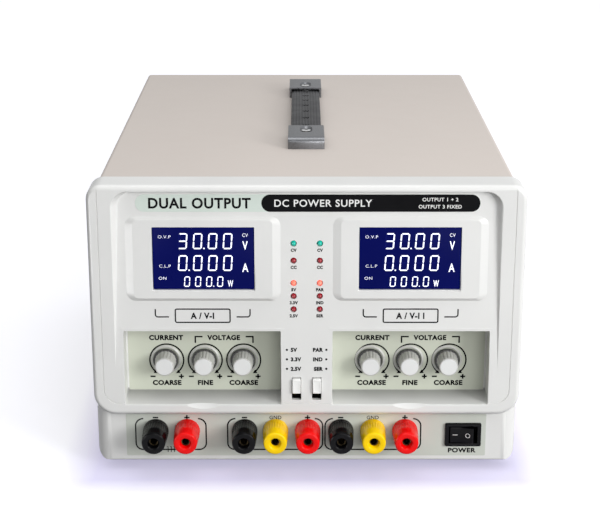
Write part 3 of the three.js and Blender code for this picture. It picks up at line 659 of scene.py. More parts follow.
def build_bezel():
    half, back = BEZEL_HIGH.x, BEZEL_HIGH.y
    low, high = BEZEL_LOW.z, BEZEL_HIGH.z
    wall = MOULDED_WALL
    shell = soft_plate((-half, half, low, high), FRONT, back, 14, 9, 3.0, 10, 6)
    inner = rounded(-half + wall, half - wall, low + wall, high - wall, 11, 6, 8)

    def behind(z):
        return face_y(max(z, FACE["low"])) + wall

    hollow = prism(inner, behind, back + 2)

    pocket_shells, cutters, pillows = [], [], []
    for side, middle in CHANNELS.items():
        reach = POCKET["half"] + POCKET["wall"]
        pocket_shells.append(box_mesh(middle - reach, middle + reach, FRONT + 1, back - 0.02,
                                      POCKET["low"] - POCKET["wall"], POCKET["high"] + POCKET["wall"]))
        cutters += [pocket_bore(middle), finger_scoop(middle)]
        for use in KNOB_USES:
            knob = centre(f"knob_{side}_{use}")
            ring = circle(knob.x, knob.z, KNOB_HOLE, 32)
            cutters.append(prism(ring, POCKET_FLOOR - 1, back + 1))

        pillows.append(display_surround(math.copysign(SURROUND["x"], middle)))
        x = math.copysign(GLASS["x"], middle)
        reach = GLASS["half"] + 0.35
        outline = (x - reach, x + reach, GLASS["low"] - 0.35, GLASS["high"] + 0.35)
        cutters.append(bore(outline, 0.3, face_y(143) - SURROUND["proud"] - 0.2, back - 1, 0.15, 3))

    for side in (-1, 1):
        for z in LAMP_ROWS:
            ring = circle(LAMP_X * side, z, 1.95, 24)
            cutters.append(prism(ring, FRONT - 1, back))
        x = SELECTOR_X * side
        cutters.append(bore((x - 2.9, x + 2.9, 51.6, 66.7), 0.25, FRONT, FRONT + 5, 0.2, 3))

    # A shallow groove runs round the bezel's front, open at the top.
    groove = loft([
        at(rounded(-126.6 + inset, 126.6 - inset, 48.9 + inset, high + 20, 9.4 - inset, 5, 10), FRONT + depth)
        for inset, depth in ((0, -1), (0, 0), (0.3, 0.45), (0.6, 0), (0.6, -1))
    ], closed=True)

    body = carved(shell, [hollow, face_recess(), groove])
    body = carved(body, cutters, [*pocket_shells, *pillows])
    add_piece("bezel_shell", body, BEZEL_IVORY, "root", ["front_bezel"], weighted=True)


def build_fascia():
    half, back = FASCIA_HIGH.x, FASCIA_HIGH.y
    low, high = FASCIA_LOW.z, FASCIA_HIGH.z
    wall = MOULDED_WALL
    shell = soft_plate((-half, half, low, high), PANEL, back, 8, 2, 1.8, 8, 5)
    end = 10.0

    def plan(inset, z):
        """The fascia seen from above, its ends curved back, as a ring at a height."""
        radius = end - inset
        x, y = half - inset - radius, PANEL + inset + radius
        front = arc(x, y, radius, -90, 0, 10)
        mirrored = [(-a, b) for a, b in front[::-1]]
        outline = [(-x - radius, back + 4), *mirrored, *front, (x + radius, back + 4)]
        return [(px, py, z) for px, py in outline]

    shell = carved(shell, [], keep=loft([plan(0, low - 2), plan(0, high + 2)]))
    inner = rounded(-half + wall, half - wall, low + wall, high - wall, 5, 0.5, 6)
    hollow = prism(inner, PANEL + wall, back + 2)
    cutters = [carved(hollow, [], keep=loft([plan(wall, low - 2), plan(wall, high + 2)]))]
    for i in range(1, 9):
        middle = centre(f"terminal_post_{i}")
        ring = circle(middle.x, middle.z, 5, 32)
        cutters.append(prism(ring, PANEL - 1, PANEL + wall + 1))
    low_switch, high_switch = corners("power_switch_body")
    outline = rounded(low_switch.x + 1.2, high_switch.x - 1.2, low_switch.z + 1.1, high_switch.z - 1.1, 0.4)
    cutters.append(prism(outline, PANEL - 1, PANEL + wall + 1))
    add_piece("fascia_shell", carved(shell, cutters), IVORY, "root", ["lower_fascia"],
              weighted=True)


def build_feet():
    for end in ("front", "rear"):
        for side in ("left", "right"):
            node = f"foot_{end}_{side}"
            middle = centre(node)
            profile = [[0, 0.6], [2.6, 0.6], [3.0, 0]] + arc(7.0, 1.0, 1.0, -90, -10, 5)
            profile += [[10, 5.2], [10, 6], [0, 6]]
            add_piece(f"rubber_{node}", lathe(profile, middle, 48, "z"), RUBBER,
                      replaces=[node])


# ---- overlays and legends ----

FILM = 0.2


def film(name, outline, y, material, holes=()):
    """A printed overlay film on a surface; holes are outlines cut through it."""
    def lifted(by):
        return (lambda z: y(z) - by) if callable(y) else y - by
    base = prism(outline, lifted(-0.03), lifted(FILM))
    tools = [prism(hole, lifted(-2), lifted(2)) for hole in holes]
    body = carved(base, tools) if tools else base
    return add_piece(name, body, material, sharp=20)


def build_title():
    strip = rounded(-103.6, 104.7, 172.6, 183.3, 5.3, None, 12)
    film("title_film", strip, face_y, FILM_GREEN)
    pill = rounded(-27.4, 104.7, 172.6, 183.3, 5.3, None, 12)
    add_print("title_pill", [filled(pill)], lambda z: face_y(z) - FILM, INK)
    surface = lambda z: face_y(z) - FILM - INK_DEPTH
    white = [
        lettering("DC POWER SUPPLY", -20, 178, 4.3, 0.08, "LEFT", 1.12),
        lettering("OUTPUT 1 + 2", 80.5, 180.2, 2.2, 0.05, "CENTER", 1.1),
        lettering("OUTPUT 3 FIXED", 80.5, 175.8, 2.2, 0.05, "CENTER", 1.1),
    ]
    add_print("title_lettering_white", white, surface, INK_WHITE)
    black = [lettering("DUAL OUTPUT", -65, 178, 6.2, 0.26, "CENTER", 1.05)]
    add_print("title_lettering_black", black, lambda z: face_y(z) - FILM, INK)


def build_face_legends():
    flats = []
    for number, middle in enumerate(CHANNELS.values(), 1):
        middle -= math.copysign(0.6, middle)
        flats += [stroke(rounded(middle - 16.8, middle + 16.8, 102.7, 111.2, 0.9, None, 3), 0.8, True),
                  lettering(f"A / V-{' '.join('I' * number)}", middle, 106.95, 3.7, 0.2)]
        for way in (-1, 1):
            x_far, x_near = middle + way * 29.1, middle + way * 20.8
            corner = arc(x_far - way * 1.6, 107.8, 1.6, 0 if way > 0 else 180, -90 if way > 0 else 270, 6)
            flats.append(stroke([(x_far, 111.2), *corner, (x_near, 106.2)], 0.8))
    for x, names in ((-LAMP_X, ("5V", "3.3V", "2.5V")), (LAMP_X, ("PAR", "IND", "SER"))):
        for z, name in zip(LAMP_ROWS, ("CV", "CC", *names)):
            flats.append(lettering(name, x, z - 4.2, 1.8, 0.14, "CENTER", 1.05))
    for i, (left, right) in enumerate((("5V", "PAR"), ("3.3V", "IND"), ("2.5V", "SER"))):
        z = 84.9 - 6.2 * i
        flats += [filled(circle(-12.2, z, 0.7, 16)), lettering(left, -9.8, z, 2.3, 0.2, "LEFT", 1.05),
                  lettering(right, 9.8, z, 2.3, 0.2, "RIGHT", 1.05), filled(circle(12.2, z, 0.7, 16))]
    add_print("legend_face", flats, face_y, INK)


def build_pocket_prints():
    surface = POCKET_FLOOR - FILM
    for side, middle in CHANNELS.items():
        knobs = [centre(f"knob_{side}_{use}") for use in KNOB_USES]
        reach = POCKET["half"] - 0.4
        outline = rounded(middle - reach, middle + reach, POCKET["low"] + 1.5, POCKET["high"] - 0.4, 0.4)
        holes = [circle(place.x, place.z, KNOB_HOLE, 32) for place in knobs]
        film(f"overlay_pocket_{side}", outline, POCKET_FLOOR, FILM_POCKET, holes)
        flats = []
        dials = [DIALS[side] + i * DIAL_PITCH for i in (-1, 0, 1)]
        for x, below in zip(dials, ("COARSE", "FINE", "COARSE")):
            flats += [
                stroke(arc(x, 70.7, 10.7, -50, 230, 44), 0.95),
                arrowhead(x, 70.7, 10.7, 238, -1),
                arrowhead(x, 70.7, 10.7, -58, 1),
                stroke([(x - 10.6, 59.5), (x - 7.4, 59.5)], 1.0),
                stroke([(x + 7.4, 59.5), (x + 10.6, 59.5)], 1.0),
                stroke([(x + 9.0, 61.1), (x + 9.0, 57.9)], 1.0),
                lettering(below, x - 0.2, 55.3, 3.0, 0.22, "CENTER", 1.16),
            ]
        flats += [lettering("CURRENT", dials[0] - 0.1, 85.8, 3.0, 0.22, "CENTER", 1.14),
                  lettering("VOLTAGE", (dials[1] + dials[2]) / 2 - 0.2, 85.8, 3.0, 0.22, "CENTER", 1.1)]
        for dial, way in ((dials[1], -1), (dials[2], 1)):
            x = dial + way * 6.0
            flats.append(stroke([(x - way * 4.6, 86.4), (x, 86.4), (x, 82.2)], 0.95))
        add_print(f"legend_pocket_{side}", flats, surface, INK)


def arrowhead(x, z, radius, angle, way):
    """A small triangle at an arc's end that points along it."""
    turn = math.radians(angle)
    tip = Vector((x + radius * math.cos(turn), z + radius * math.sin(turn)))
    along = Vector((math.sin(turn), -math.cos(turn))) * way
    across = Vector((-along.y, along.x))
    back = tip - along * 2.6
    return filled([tuple(tip), tuple(back + across * 1.4), tuple(back - across * 1.4)])


def build_fascia_prints():
    posts = [centre(f"terminal_post_{i}") for i in range(1, 9)]
    switch_low, switch_high = corners("power_switch_body")
    holes = [circle(place.x, place.z, 5.2, 32) for place in posts]
    holes.append(rounded(switch_low.x + 1, switch_high.x - 1, switch_low.z + 1, switch_high.z - 1, 0.4))
    outline = rounded(-114.5, 114, 9.2, 39.6, 0.8, None, 4)
    film("overlay_terminals", outline, PANEL, FILM_FASCIA, holes)
    flats = []
    groups = ((0, 1), (2, 4), (5, 7))
    for first, last in groups:
        x0 = posts[first].x - 12.6 + {0: -0.3, 2: 1.7, 5: 2.6}[first]
        x1 = posts[last].x + 12.6 + {1: -0.7, 4: -3.1, 7: -2.5}[last]
        lower, upper, radius = 13.4, 34.7, 4.4
        left = [(x0 + 5, upper)] + arc(x0 + 5, upper - 5, 5, 90, 180, 8)
        left += arc(x0 + radius, lower + radius, radius, 180, 270, 8)
        right = arc(x1 - radius, lower + radius, radius, -90, 0, 8)
        right += arc(x1 - 5, upper - 5, 5, 0, 90, 8)
        flats.append(stroke([*left, *right], 0.9))
    for i in (-1, 0, 1):
        x = (posts[0].x + posts[1].x) / 2 - 0.6 + 2.0 * i
        flats.append(stroke([(x, 11.6), (x, 15.4)], 0.5))
        flats.append(stroke([(x - 0.75, 15.3), (x + 0.25, 15.3)], 0.35))
    marks = {0: "-", 1: "+", 2: "-", 3: "GND", 4: "+", 5: "-", 6: "GND", 7: "+"}
    for i, mark in marks.items():
        x, z = posts[i].x - 0.1, 35.4
        if mark == "GND":
            flats.append(lettering(mark, x, z + 0.1, 2.3, 0.06, "CENTER", 1.1))
        else:
            flats.append(stroke([(x - 1.7, z), (x + 1.7, z)], 0.95))
        if mark == "+":
            flats.append(stroke([(x, z + 1.7), (x, z - 1.7)], 0.95))
    flats.append(lettering("POWER", 98.9, 12.9, 2.9, 0.17, "CENTER", 1.26))
    add_print("legend_terminals", flats, PANEL - FILM, INK)


# ---- displays ----

# The seven segments of a digit, named a to g, that each figure lights.
FIGURES = {"0": "abcdef", "3": "abcdg"}
LEAN = 0.07


def segment(name, x, z, wide, tall, thick):
    """One mitred segment of a digit whose lower left corner is (x, z)."""
    half, gap = thick / 2, thick * 0.2
    middle = tall / 2
    level = {"a": tall - half, "g": middle, "d": half}
    if name in level:
        v = level[name]
        u0, u1 = half + gap, wide - half - gap
        points = [(u0, v), (u0 + half, v + half), (u1 - half, v + half),
                  (u1, v), (u1 - half, v - half), (u0 + half, v - half)]
    else:
        u = half if name in "ef" else wide - half
        v0, v1 = (middle + gap, tall - half - gap) if name in "bf" else (half + gap, middle - gap)
        points = [(u, v0), (u + half, v0 + half), (u + half, v1 - half),
                  (u, v1), (u - half, v1 - half), (u - half, v0 + half)]
    return filled([(x + u + v * LEAN, z + v) for u, v in points])


def build_display(side):
    node = f"lcd_module_{side}"
    low, high = corners(node)
    middle = math.copysign(GLASS["x"], CHANNELS[side])
    glass_y = low.y
    left, top = middle - GLASS["half"], GLASS["high"]
    bounds = (left, middle + GLASS["half"], GLASS["low"], top)
    glass = soft_plate(bounds, glass_y, glass_y + 2.6, 0.4, None, 0.15, 3, 2)
    add_piece(f"display_glass_{side}", glass, SCREEN, replaces=[node])
    carrier = box_mesh(middle - 38, middle + 38, high.y - 6, high.y, low.z, high.z, 0.4)
    frame_back = box_mesh(
        middle - 33, middle + 33, glass_y + 2.7, high.y - 6.05, GLASS["low"] - 2, top + 2, 0.4
    )
    add_piece(f"display_carrier_{side}", merged([carrier, frame_back]), BOARD)

    lit, unlit = [], []
    rows = (
        ("30.00", 15.2, 13.6, 5.55, 10.1, 9.1, 0.82),
        ("0.000", 15.0, 27.5, 5.55, 10.0, 9.15, 0.82),
        ("000.0", 18.5, 37.7, 3.6, 6.6, 6.75, 0.6),
    )
    for text, start, drop, wide, tall, pitch, thick in rows:
        x, z = left + start, top - drop
        for figure in text:
            if figure == ".":
                dot = thick * 1.05
                x_dot = x - (pitch - wide) * 0.62
                lit.append(filled(rounded(x_dot - dot / 2, x_dot + dot / 2, z, z + dot, 0.15, None, 2)))
                continue
            for name in "abcdefg":
                chosen = lit if name in FIGURES[figure] else unlit
                chosen.append(segment(name, x, z, wide, tall, thick))
            x += pitch
    for text, u, v, height, weight, stretch in (
        ("CV", 56.2, 4.7, 2.2, -0.03, 0.9),
        ("V", 56.2, 11.2, 5.3, 0.1, 0.72),
        ("A", 56.2, 25.4, 5.3, 0.1, 0.76),
        ("W", 47.0, 35.6, 4.2, 0.08, 0.56),
        ("O.V.P", 7.2, 5.8, 1.9, -0.04, 1.25),
        ("C.L.P", 7.2, 24.4, 1.9, -0.04, 1.25),
        ("ON", 5.6, 32.2, 1.9, -0.04, 1.25),
    ):
        lit.append(lettering(text, left + u, top - v, height, weight, "CENTER", stretch))
    add_print(f"display_segments_{side}", lit, glass_y, SEGMENT_ON)
    add_print(f"display_segments_off_{side}", unlit, glass_y, SEGMENT_OFF)


def build_lamps():
    """Ten lamp lenses, which stand on the indicator board."""
    materials = (LAMP_TEAL, LAMP_RED, LAMP_LIT, LAMP_RED, LAMP_RED)
    for side, x in (("left", -LAMP_X), ("right", LAMP_X)):
        for row, (z, material) in enumerate(zip(LAMP_ROWS, materials), 1):
            tip = face_y(z) - 1.15
            profile = [[0, tip]]
            profile += [[1.5 * math.sin(math.radians(a)), tip + 1.5 * (1 - math.cos(math.radians(a)))]
                        for a in (20, 40, 60, 75, 90)]
            profile += [[1.5, tip + 3.2], [0, tip + 3.2]]
            lens = lathe(profile, (x, 0, z), 32)
            add_piece(f"lamp_{side}_{row}", lens, material)


# ---- controls ----

def build_knob(node):
    """A fluted grip on a skirt that is dark as painted shade for the gap under the knob, with a pale disc set
    into its face.
    """
    middle = centre(node)
    low, high = corners(node)
    face = low.y
    foot = POCKET_FLOOR - 1.2
    flutes, depth = 18, 0.42

    skirt = [[0, high.y], [3.0, high.y]]
    skirt += based([(3.0, -5.0), (5.3, -5.0), (5.3, 0), (7.5, 0), (7.85, -0.35), (7.85, -0.9), (7.5, -1.3),
                    (6.0, -1.45), (5.7, -7), (0, -7)], foot)
    add_piece(f"{node}_skirt", lathe(skirt, middle, 72), KNOB_SKIRT_SHADE, f"{node}_body", [node], 40)

    length = foot - 1.7 - face
    profile = [[5.9, foot - 6], [6.1, foot - 1.5]]
    start = len(profile)
    for t in (0, 0.08, 0.25, 0.5, 0.75, 0.9):
        profile.append([6.65 - 0.6 * t, foot - 1.6 - t * (length - 1.0)])
    profile += based([(6.0, 0.65), (5.85, 0.3), (5.6, 0.1), (5.4, 0.05), (5.3, 0.1), (5.3, 0.6), (0, 0.6)],
                     face)
    profile += [[0, foot - 6], [5.9, foot - 6]]
    fade = dict(enumerate((0.5, 1, 1, 1, 1, 0.9, 0.55, 0.25, 0.08), start))

    def ribs(i, angle):
        wave = abs(math.sin(flutes * angle / 2))
        return -depth * fade.get(i, 0.0) * (1 - wave) ** 1.4

    grip = lathe(profile, middle, 180, "y", ribs)
    add_piece(f"{node}_grip", grip, KNOB_GREY, f"{node}_body", [node], 50)
    disc = [[0, face + 0.55], [5.25, face + 0.55], [5.25, face + 0.12], [5.1, face + 0.02], [0, face]]
    add_piece(f"{node}_disc", lathe(disc, middle, 64), KNOB_WHITE, f"{node}_body")


def build_knob_rings():
    """A low moulded ring stands round each knob on the pocket's floor."""
    for side in CHANNELS:
        rings = []
        for use in KNOB_USES:
            profile = based([(8.25, 0.1), (8.25, -0.75), (8.4, -0.9), (8.75, -0.9), (9.6, -0.25), (9.7, 0.1),
                             (8.25, 0.1)], POCKET_FLOOR)
            rings.append(lathe(profile, centre(f"knob_{side}_{use}"), 72))
        add_piece(f"knob_rings_{side}", merged(rings), KNOB_GREY)


def build_selector(node):
    low, high = corners(node)
    body = box_mesh(low.x, high.x, low.y, high.y, low.z, high.z, 0.35, 3)
    dish = soft_plate((low.x + 0.9, high.x - 0.9, low.z + 1.2, high.z - 1.2), low.y - 1, low.y + 0.25, 0.5)
    add_piece(f"{node}_button", carved(body, [dish]), WHITE, f"{node}_body", [node])


CAP_RIBS = 30


def build_terminal(number, colour):
    material = {"black": BLACK, "red": RED, "yellow": YELLOW}[colour]
    cap_node = f"terminal_cap_{number}_{colour}"
    low, high = corners(cap_node)
    middle = centre(cap_node)
    face, back = low.y, high.y
    length = back - face

    profile = [[5.95, back], [7.8, back], [8.1, back - 0.3], [8.1, back - 1.0]]
    start = len(profile)
    for t in (0, 0.04, 0.25, 0.45, 0.5):
        profile.append([8.05 - 0.4 * t, back - 1.2 - t * (length - 1.2)])
    profile += [[7.7, face + 6.5], [7.45, face + 1.9]]
    profile += arc(6.3, face + 1.1, 1.1, 0, -90, 6)
    profile += [[4.1, face], [3.7, face + 0.15], [3.4, face + 0.6], [2.6, face + 2.2], [2.6, face + 3.2],
                [5.95, face + 3.2], [5.95, back]]
    strength = dict(enumerate((0.4, 1, 1, 1, 0.2), start))

    def ribs(i, angle):
        return -0.3 * strength.get(i, 0.0) * (0.5 + 0.5 * math.cos(CAP_RIBS * angle))

    cap = lathe(profile, middle, 180, "y", ribs)
    add_piece(f"{cap_node}_grip", cap, material, f"cap_{number}_body", [cap_node], 45)

    bush_node = f"terminal_bush_{number}"
    blow, bhigh = corners(bush_node)
    ring = [[3.8, blow.y], [5.6, blow.y], [5.6, bhigh.y], [3.8, bhigh.y], [3.8, blow.y]]
    add_piece(f"{bush_node}_ring", lathe(ring, middle, 48), NICKEL, f"bush_{number}_body",
              [bush_node])

    post_node = f"terminal_post_{number}"
    plow, phigh = corners(post_node)
    collar_front = PANEL - 0.3 - 2.5
    stud = [[0, phigh.y], [2, phigh.y], [2, PANEL + 6.1], [3.5, PANEL + 6.1], [3.5, plow.y + 0.4],
            [3.2, plow.y], [2.3, plow.y], [2.05, plow.y + 0.3], [2.05, PANEL], [0, PANEL]]
    # The stud is dark as painted shade for the socket's bore; a glint still shows.
    add_piece(f"{post_node}_stud", lathe(stud, middle, 48), SHADED_SOCKET_METAL, replaces=[post_node])
    nut = based([(3.6, 3.3), (6, 3.3), (6, 6), (3.6, 6), (3.6, 3.3)], PANEL)
    add_piece(f"{post_node}_nut", lathe(nut, middle, 6), ZINC)
    collar = [[3.6, PANEL + 2.9], [4.5, PANEL + 2.9], [4.5, PANEL - 0.28], [8.1, PANEL - 0.28]]
    collar += arc(7.7, collar_front + 0.4, 0.4, 0, -90, 4)
    collar += [[3.6, collar_front], [3.6, PANEL + 2.9]]
    add_piece(f"{post_node}_collar", lathe(collar, middle, 64), material)


def build_switch():
    node = "power_switch_body"
    low, high = corners(node)
    middle = centre(node)
    flange_back = PANEL - 0.3
    bounds = (low.x, high.x, low.z, high.z)
    flange = soft_plate(bounds, low.y, flange_back, 1.0, None, 0.9, 4, 4)
    case = box_mesh(low.x + 1.5, high.x - 1.5, flange_back - 0.6, high.y, middle.z - 6.3, middle.z + 6.3, 0.3)
    hollow = bore(
        (middle.x - 8.9, middle.x + 8.9, middle.z - 5.6, middle.z + 5.6), 0.3, low.y, PANEL + 9, 0.7, 3
    )
    add_piece("power_switch_case", carved(flange, [hollow], [case]), BLACK, "root", [node],
              weighted=True)

    def dip(share):
        """The hollow of the rocker's face, at a share of its half width."""
        return -7.55 - 0.95 * abs(share) ** 1.4

    # The rocker is drawn level and then turned to its rest, with its left side pressed in.
    pivot = Vector((middle.x, PANEL + 5.5, middle.z))
    outline = [(-8.2, 1.5), (-7.9, -4.0), (-7.5, -8.2), (-7.1, -8.5)]
    outline += [(-7.1 + 14.2 * i / 12, dip(-1 + i / 6)) for i in range(1, 12)]
    outline += [(7.1, -8.5), (7.5, -8.2), (7.9, -4.0), (8.2, 1.5), (4, 2.6), (-4, 2.6)]
    tall = 5.3
    rings = []
    for z, inset in softened(tall):
        rings.append([(x * (1 - inset / 9), y * (1 - inset / 9), z) for x, y in outline])
    rocker = loft(rings)
    turn = Matrix.Rotation(math.radians(-7.5), 4, "Z")
    place = Matrix.Translation(pivot) @ turn
    rocker.transform(place)
    add_piece("power_rocker_key", rocker, BLACK, "rocker_body", ["power_rocker"], 40)

    marks = merged([stroke([(-5.6, 0.2), (-2.5, 0.2)], 0.32), stroke(circle(3.9, 0, 1.35, 28), 0.28, True)])
    thickened(marks, lambda x, _: dip(x / 7.1) - 0.01, 0.05)
    marks.transform(place)
    add_piece("power_rocker_marks", marks, INK_WHITE, "rocker_body", (), 20)


# ---- handle ----

def build_handle():
    strap_low, strap_high = corners("handle_strap")
    half = (strap_high.x - strap_low.x) / 2
    front_cap, rear_cap = corners("handle_cap_front"), corners("handle_cap_rear")
    mouth_front, mouth_rear = front_cap[1].y, rear_cap[0].y
    middle_y = (strap_low.y + strap_high.y) / 2
    under, thick = strap_low.z, 4.2
    rise = strap_high.z - strap_low.z - thick

    def height(y):
        t = (y - middle_y) / ((mouth_rear - mouth_front) / 2)
        return rise * max(0.0, 1 - t * t)

    # The strap's section: a flat underside, rounded sides and lengthwise ridges on top.
    section = [(-half, 0.9), (-half + 0.5, 0.25), (-half + 1.1, 0), (half - 1.1, 0), (half - 0.5, 0.25),
               (half, 0.9), (half, thick - 1.2), (half - 0.4, thick - 0.75)]
    ridges = 9
    span = 2 * half - 2.2
    steps = ridges * 6
    for i in range(steps + 1):
        u = half - 1.1 - span * i / steps
        wave = 0.5 - 0.5 * math.cos(math.tau * ridges * i / steps)
        crown = 0.25 * (1 - (u / half) ** 2)
        section.append((u, thick - 0.55 + 0.42 * wave + crown - 0.25))
    section += [(-half + 0.4, thick - 0.75), (-half, thick - 1.2)]

    stations = [strap_low.y + (strap_high.y - strap_low.y) * i / 96 for i in range(97)]
    rings = [[(x, y, under + height(y) + z) for x, z in section] for y in stations]
    slots = []
    for i in range(-3, 4):
        y = middle_y + 1 + i * 18.8
        if mouth_front < y < mouth_rear:
            z = under + thick + height(y)
            slots.append(box_mesh(-2.2, 2.2, y - 1.4, y + 1.4, z - 1.8, z + 2))
    for end in ("front", "rear"):
        y = centre(f"handle_screw_{end}").y
        slots.append(box_mesh(-3.2, 3.2, y - 8, y + 8, under - 2, under + thick + 4))
    strap = carved(loft(rings), slots)
    for end, mouth in (("front", mouth_front), ("rear", mouth_rear)):
        part = strap.copy()
        keep_front = end == "front"
        cut_plane = bmesh.ops.bisect_plane(
            part,
            geom=[*part.verts, *part.edges, *part.faces],
            plane_co=(0, middle_y, 0),
            plane_no=(0, 1, 0),
            clear_outer=keep_front,
            clear_inner=not keep_front,
        )
        edges = [item for item in cut_plane["geom_cut"] if isinstance(item, bmesh.types.BMEdge)]
        bmesh.ops.holes_fill(part, edges=edges)
        add_strap_half(f"strap_{end}", part)
    strap.free()

    for end in ("front", "rear"):
        build_handle_cap(end)
        build_handle_screw(end)


def add_strap_half(name, bm):
    """Half the strap: it lies low in its cap's mouth and arches highest near the middle."""
    piece = as_piece(name, bm, STRAP, 40)
    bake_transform(piece)
    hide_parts("handle_strap")


def build_handle_cap(end):
    node = f"handle_cap_{end}"
    low, high = corners(node)
    outer_end, way = (low.y, 1) if end == "front" else (high.y, -1)
    length = high.y - low.y
    half = high.x
    top = high.z
    sheet = 1.4

    # Outline of the cap's side: rounded over its closed end.
    radius = 4.0
    side = [(0.0, low.z)]
    side += [(radius - radius * math.cos(a), top - radius + radius * math.sin(a))
             for a in [math.radians(90 * i / 8) for i in range(9)]]
    side += [(length - 0.3, top), (length, top - 0.3), (length, low.z)]
    rings = []
    for x, inset in softened(half):
        rings.append([(x, outer_end + way * max(u, inset), min(v, top - inset)) for u, v in side])
    shell = loft(rings)
    y_near, y_far = sorted((outer_end + way * sheet, outer_end + way * (length + 2)))
    hollow = box_mesh(-half + sheet, half - sheet, y_near, y_far, low.z - 2, top - sheet, 0.4)
    screw = centre(f"handle_screw_{end}")
    rings = []
    for z, grow in ((top - sheet - 1, 0), (top - sheet, 0), (top - 0.15, 1.0), (top, 1.15), (top + 1, 1.15)):
        oval = rounded(screw.x - 3 - grow, screw.x + 3 + grow, screw.y - 7.5 - grow, screw.y + 7.5 + grow,
                       3 + grow, None, 10)
        rings.append([(x, y, z) for x, y in oval])
    add_piece(f"{node}_shell", carved(shell, [hollow, loft(rings)]), DARK_STEEL,
              replaces=[node], sharp=35)


def build_handle_screw(end):
    node = f"handle_screw_{end}"
    low, high = corners(node)
    middle, top = centre(node), high.z
    profile = [[0, low.z], [2, low.z], [2, top - 1.85], [3.2, top - 0.45], [3.2, top - 0.3]]
    profile += [[3.2 * math.cos(math.radians(a)), top - 0.3 + 0.3 * math.sin(math.radians(a))]
                for a in (25, 45, 65, 80)] + [[0, top]]
    head = lathe(profile, middle, 40, "z")
    recess = []
    shift = Matrix.Translation((middle.x, middle.y, 0))
    for turn in (35, 125):
        arm = box_mesh(-1.8, 1.8, -0.36, 0.36, top - 1.1, top + 1)
        arm.transform(shift @ Matrix.Rotation(math.radians(turn), 4, "Z"))
        recess.append(arm)
    add_piece(f"{node}_head", carved(head, recess), BRIGHT, replaces=[node], sharp=35)


# ---- rear and inside ----

NODE_MATERIALS = {
    ZINC: ("base_chassis",),
    COVER_PAINT: ("rear_panel",),
    BOARD: ("control_board_left", "control_board_right", "main_board"),
    FAN_BLACK: ("fan_frame", "fan_impeller"),
    BLACK: ("power_inlet", "fuse_drawer", "indicator_board"),
    IRON: ("transformer",),
    ALUMINIUM: ("heatsink",),
}


def dress_nodes():
    """CAD nodes that keep their own meshes get their materials."""
    for material, nodes in NODE_MATERIALS.items():
        for node in nodes:
            materials = frame["nodes"][node].data.materials
            materials.clear()
            materials.append(material)


def build_guard():
    """Wire finger guard over the fan: rings joined by four straight legs that rest on the rear panel."""
    middle = centre("fan_frame")
    y = PANEL_HIGH.y + 2.2
    meshes = []
    for radius in (10, 17, 24, 31, 38):
        section = [[radius + 0.8 * math.cos(a), y + 0.8 * math.sin(a)]
                   for a in [math.tau * i / 10 for i in range(10)]]
        section.append(section[0])
        meshes.append(lathe(section, middle, 72))
    for turn in (45, 135, 225, 315):
        leg = box_mesh(9, 46, PANEL_HIGH.y + 0.02, y - 0.6, -0.8, 0.8, 0.3)
        leg.transform(
            Matrix.Translation((middle.x, 0, middle.z)) @ Matrix.Rotation(math.radians(turn), 4, "Y")
        )
        meshes.append(leg)
    add_piece("fan_guard", merged(meshes), BRIGHT)


# ---- stage ----

# The sky's strength rises from 0.02 below the horizon to 0.9 above it, more to the right and behind.
SKY_LEAN = (0.28, 0.25, 1)
FLOOR_HALF = 12
PAINTED_SHADOW_REACH = 0.026   # how far a painted lilac shadow spreads on the floor round the case
# Each light: its name, place, direction, power and size. The card on the left is seen only by gloss.
LIGHTS = (
    ("key", (1.2, -1.22, 0.53), (-0.706, 0.659, -0.259), 17.5, 0.6),
    ("fill", (0.45, -2.2, 0.55), (-0.2, 0.96, -0.22), 17, 1.2),
    ("top", (0, -0.2, 0.72), (0, 0.05, -1), 0.55, 0.3),
    ("card", (-0.34, -0.43, 0.05), (0.59, 0.73, 0.25), 0.9, 0.16),
)
CAMERA_PLACE = (-0.0041, FRONT * MM - 0.9, 0.431)
CAMERA_TILT = 72.26
CAMERA_LENS = 93.42


def build_floor():
    mesh = bpy.data.meshes.new("floor")
    outline = [(x * FLOOR_HALF, y * FLOOR_HALF, 0) for x, y in ((-1, -1), (1, -1), (1, 1), (-1, 1))]
    mesh.from_pydata(outline, [], [(0, 1, 2, 3)])
    made = Nodes("floor_paper")
    made.feed("Roughness", 0.9)
    tone = made.mixed(made.ranged(made.noise(3, 2), 0, 1), (0.80, 0.80, 0.86, 1), (0.82, 0.82, 0.88, 1))
    axes = made.axes()
    edges = []
    for axis, reach in (("X", FASCIA_HIGH.x * MM), ("Y", PANEL_HIGH.y * MM)):
        beside = made.counted("ABSOLUTE", axes[axis])
        edges.append(made.counted("MAXIMUM", made.counted("SUBTRACT", beside, reach), 0))
    apart = made.counted("SQRT", made.counted("ADD", *[made.counted("MULTIPLY", e, e) for e in edges]))
    # Painted shadow: near the case the floor's colour and its glow turn a darker lilac.
    near = made.ranged(apart, 1, 0, 0.0, PAINTED_SHADOW_REACH)
    made.feed("Base Color", made.mixed(near, tone, (0.54, 0.52, 0.66, 1)))
    made.feed("Emission Color", made.mixed(near, (1, 1, 1, 1), (0.74, 0.71, 0.90, 1)))
    made.feed("Emission Strength", 0.42)
    mesh.materials.append(made.material)
    ground = bpy.data.objects.new("floor", mesh)
    bpy.context.scene.collection.objects.link(ground)
    ground.visible_diffuse = False


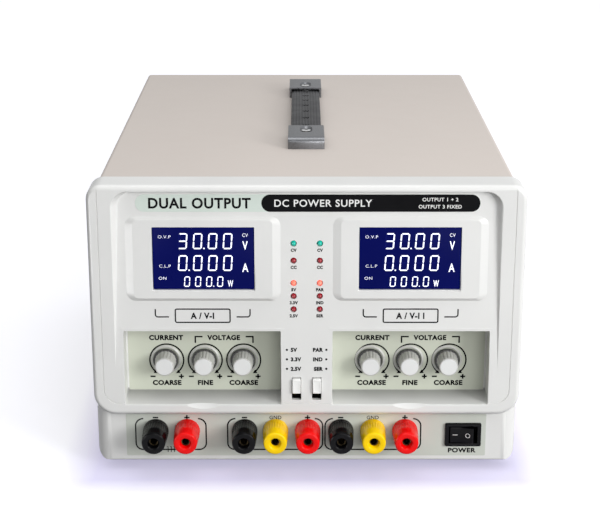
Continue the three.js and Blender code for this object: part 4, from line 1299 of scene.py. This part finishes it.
def build_world():
    """The camera sees a white backdrop; everything else is lit by a dim sky, dimmer below."""
    world = bpy.data.worlds.new("studio")
    graph = Graph(world)
    background = graph.tree.nodes["Background"]
    background.inputs["Color"].default_value = (0.98, 0.99, 1.0, 1)
    height = graph.add("ShaderNodeVectorMath", operation="DOT_PRODUCT")
    graph.link(graph.add("ShaderNodeTexCoord").outputs["Generated"], height.inputs[0])
    height.inputs[1].default_value = SKY_LEAN
    fall = graph.ranged(height.outputs["Value"], 0.02, 0.9, -0.2, 0.85)
    graph.link(fall, background.inputs["Strength"])
    white = graph.add("ShaderNodeBackground", Color=(1, 1, 1, 1), Strength=1.05)
    mix = graph.add("ShaderNodeMixShader")
    graph.link(graph.add("ShaderNodeLightPath").outputs["Is Camera Ray"], mix.inputs["Fac"])
    graph.link(background.outputs["Background"], mix.inputs[1])
    graph.link(white.outputs["Background"], mix.inputs[2])
    graph.link(mix.outputs["Shader"], graph.tree.nodes["World Output"].inputs["Surface"])
    bpy.context.scene.world = world


def build_stage():
    build_floor()
    build_world()
    collection = bpy.context.scene.collection.objects
    for name, place, toward, energy, size in LIGHTS:
        data = bpy.data.lights.new(name, "AREA")
        data.energy, data.size = energy, size
        lamp = bpy.data.objects.new(name, data)
        lamp.location = place
        lamp.rotation_mode = "QUATERNION"
        lamp.rotation_quaternion = Vector(toward).to_track_quat("-Z", "Y")
        lamp.visible_diffuse = name != "card"
        lamp.visible_camera = False
        collection.link(lamp)

    camera_data = bpy.data.cameras.new("camera")
    camera_data.sensor_width = 36
    camera_data.lens = CAMERA_LENS
    camera = bpy.data.objects.new("camera", camera_data)
    camera.location = CAMERA_PLACE
    camera.rotation_euler = (math.radians(CAMERA_TILT), 0, 0)
    collection.link(camera)
    bpy.context.scene.camera = camera
    bpy.context.scene.view_settings.view_transform = "Standard"


build_stage()
build_cover()
build_bezel()
build_fascia()
build_feet()
build_title()
build_face_legends()
build_pocket_prints()
build_fascia_prints()
build_lamps()
for channel in CHANNELS:
    build_display(channel)
    for use in KNOB_USES:
        build_knob(f"knob_{channel}_{use}")
for selector in ("selector_output_voltage", "selector_tracking_mode"):
    build_selector(selector)
for index, colour_name in enumerate(TERMINALS, 1):
    build_terminal(index, colour_name)
build_knob_rings()
build_switch()
build_handle()
dress_nodes()
build_guard()
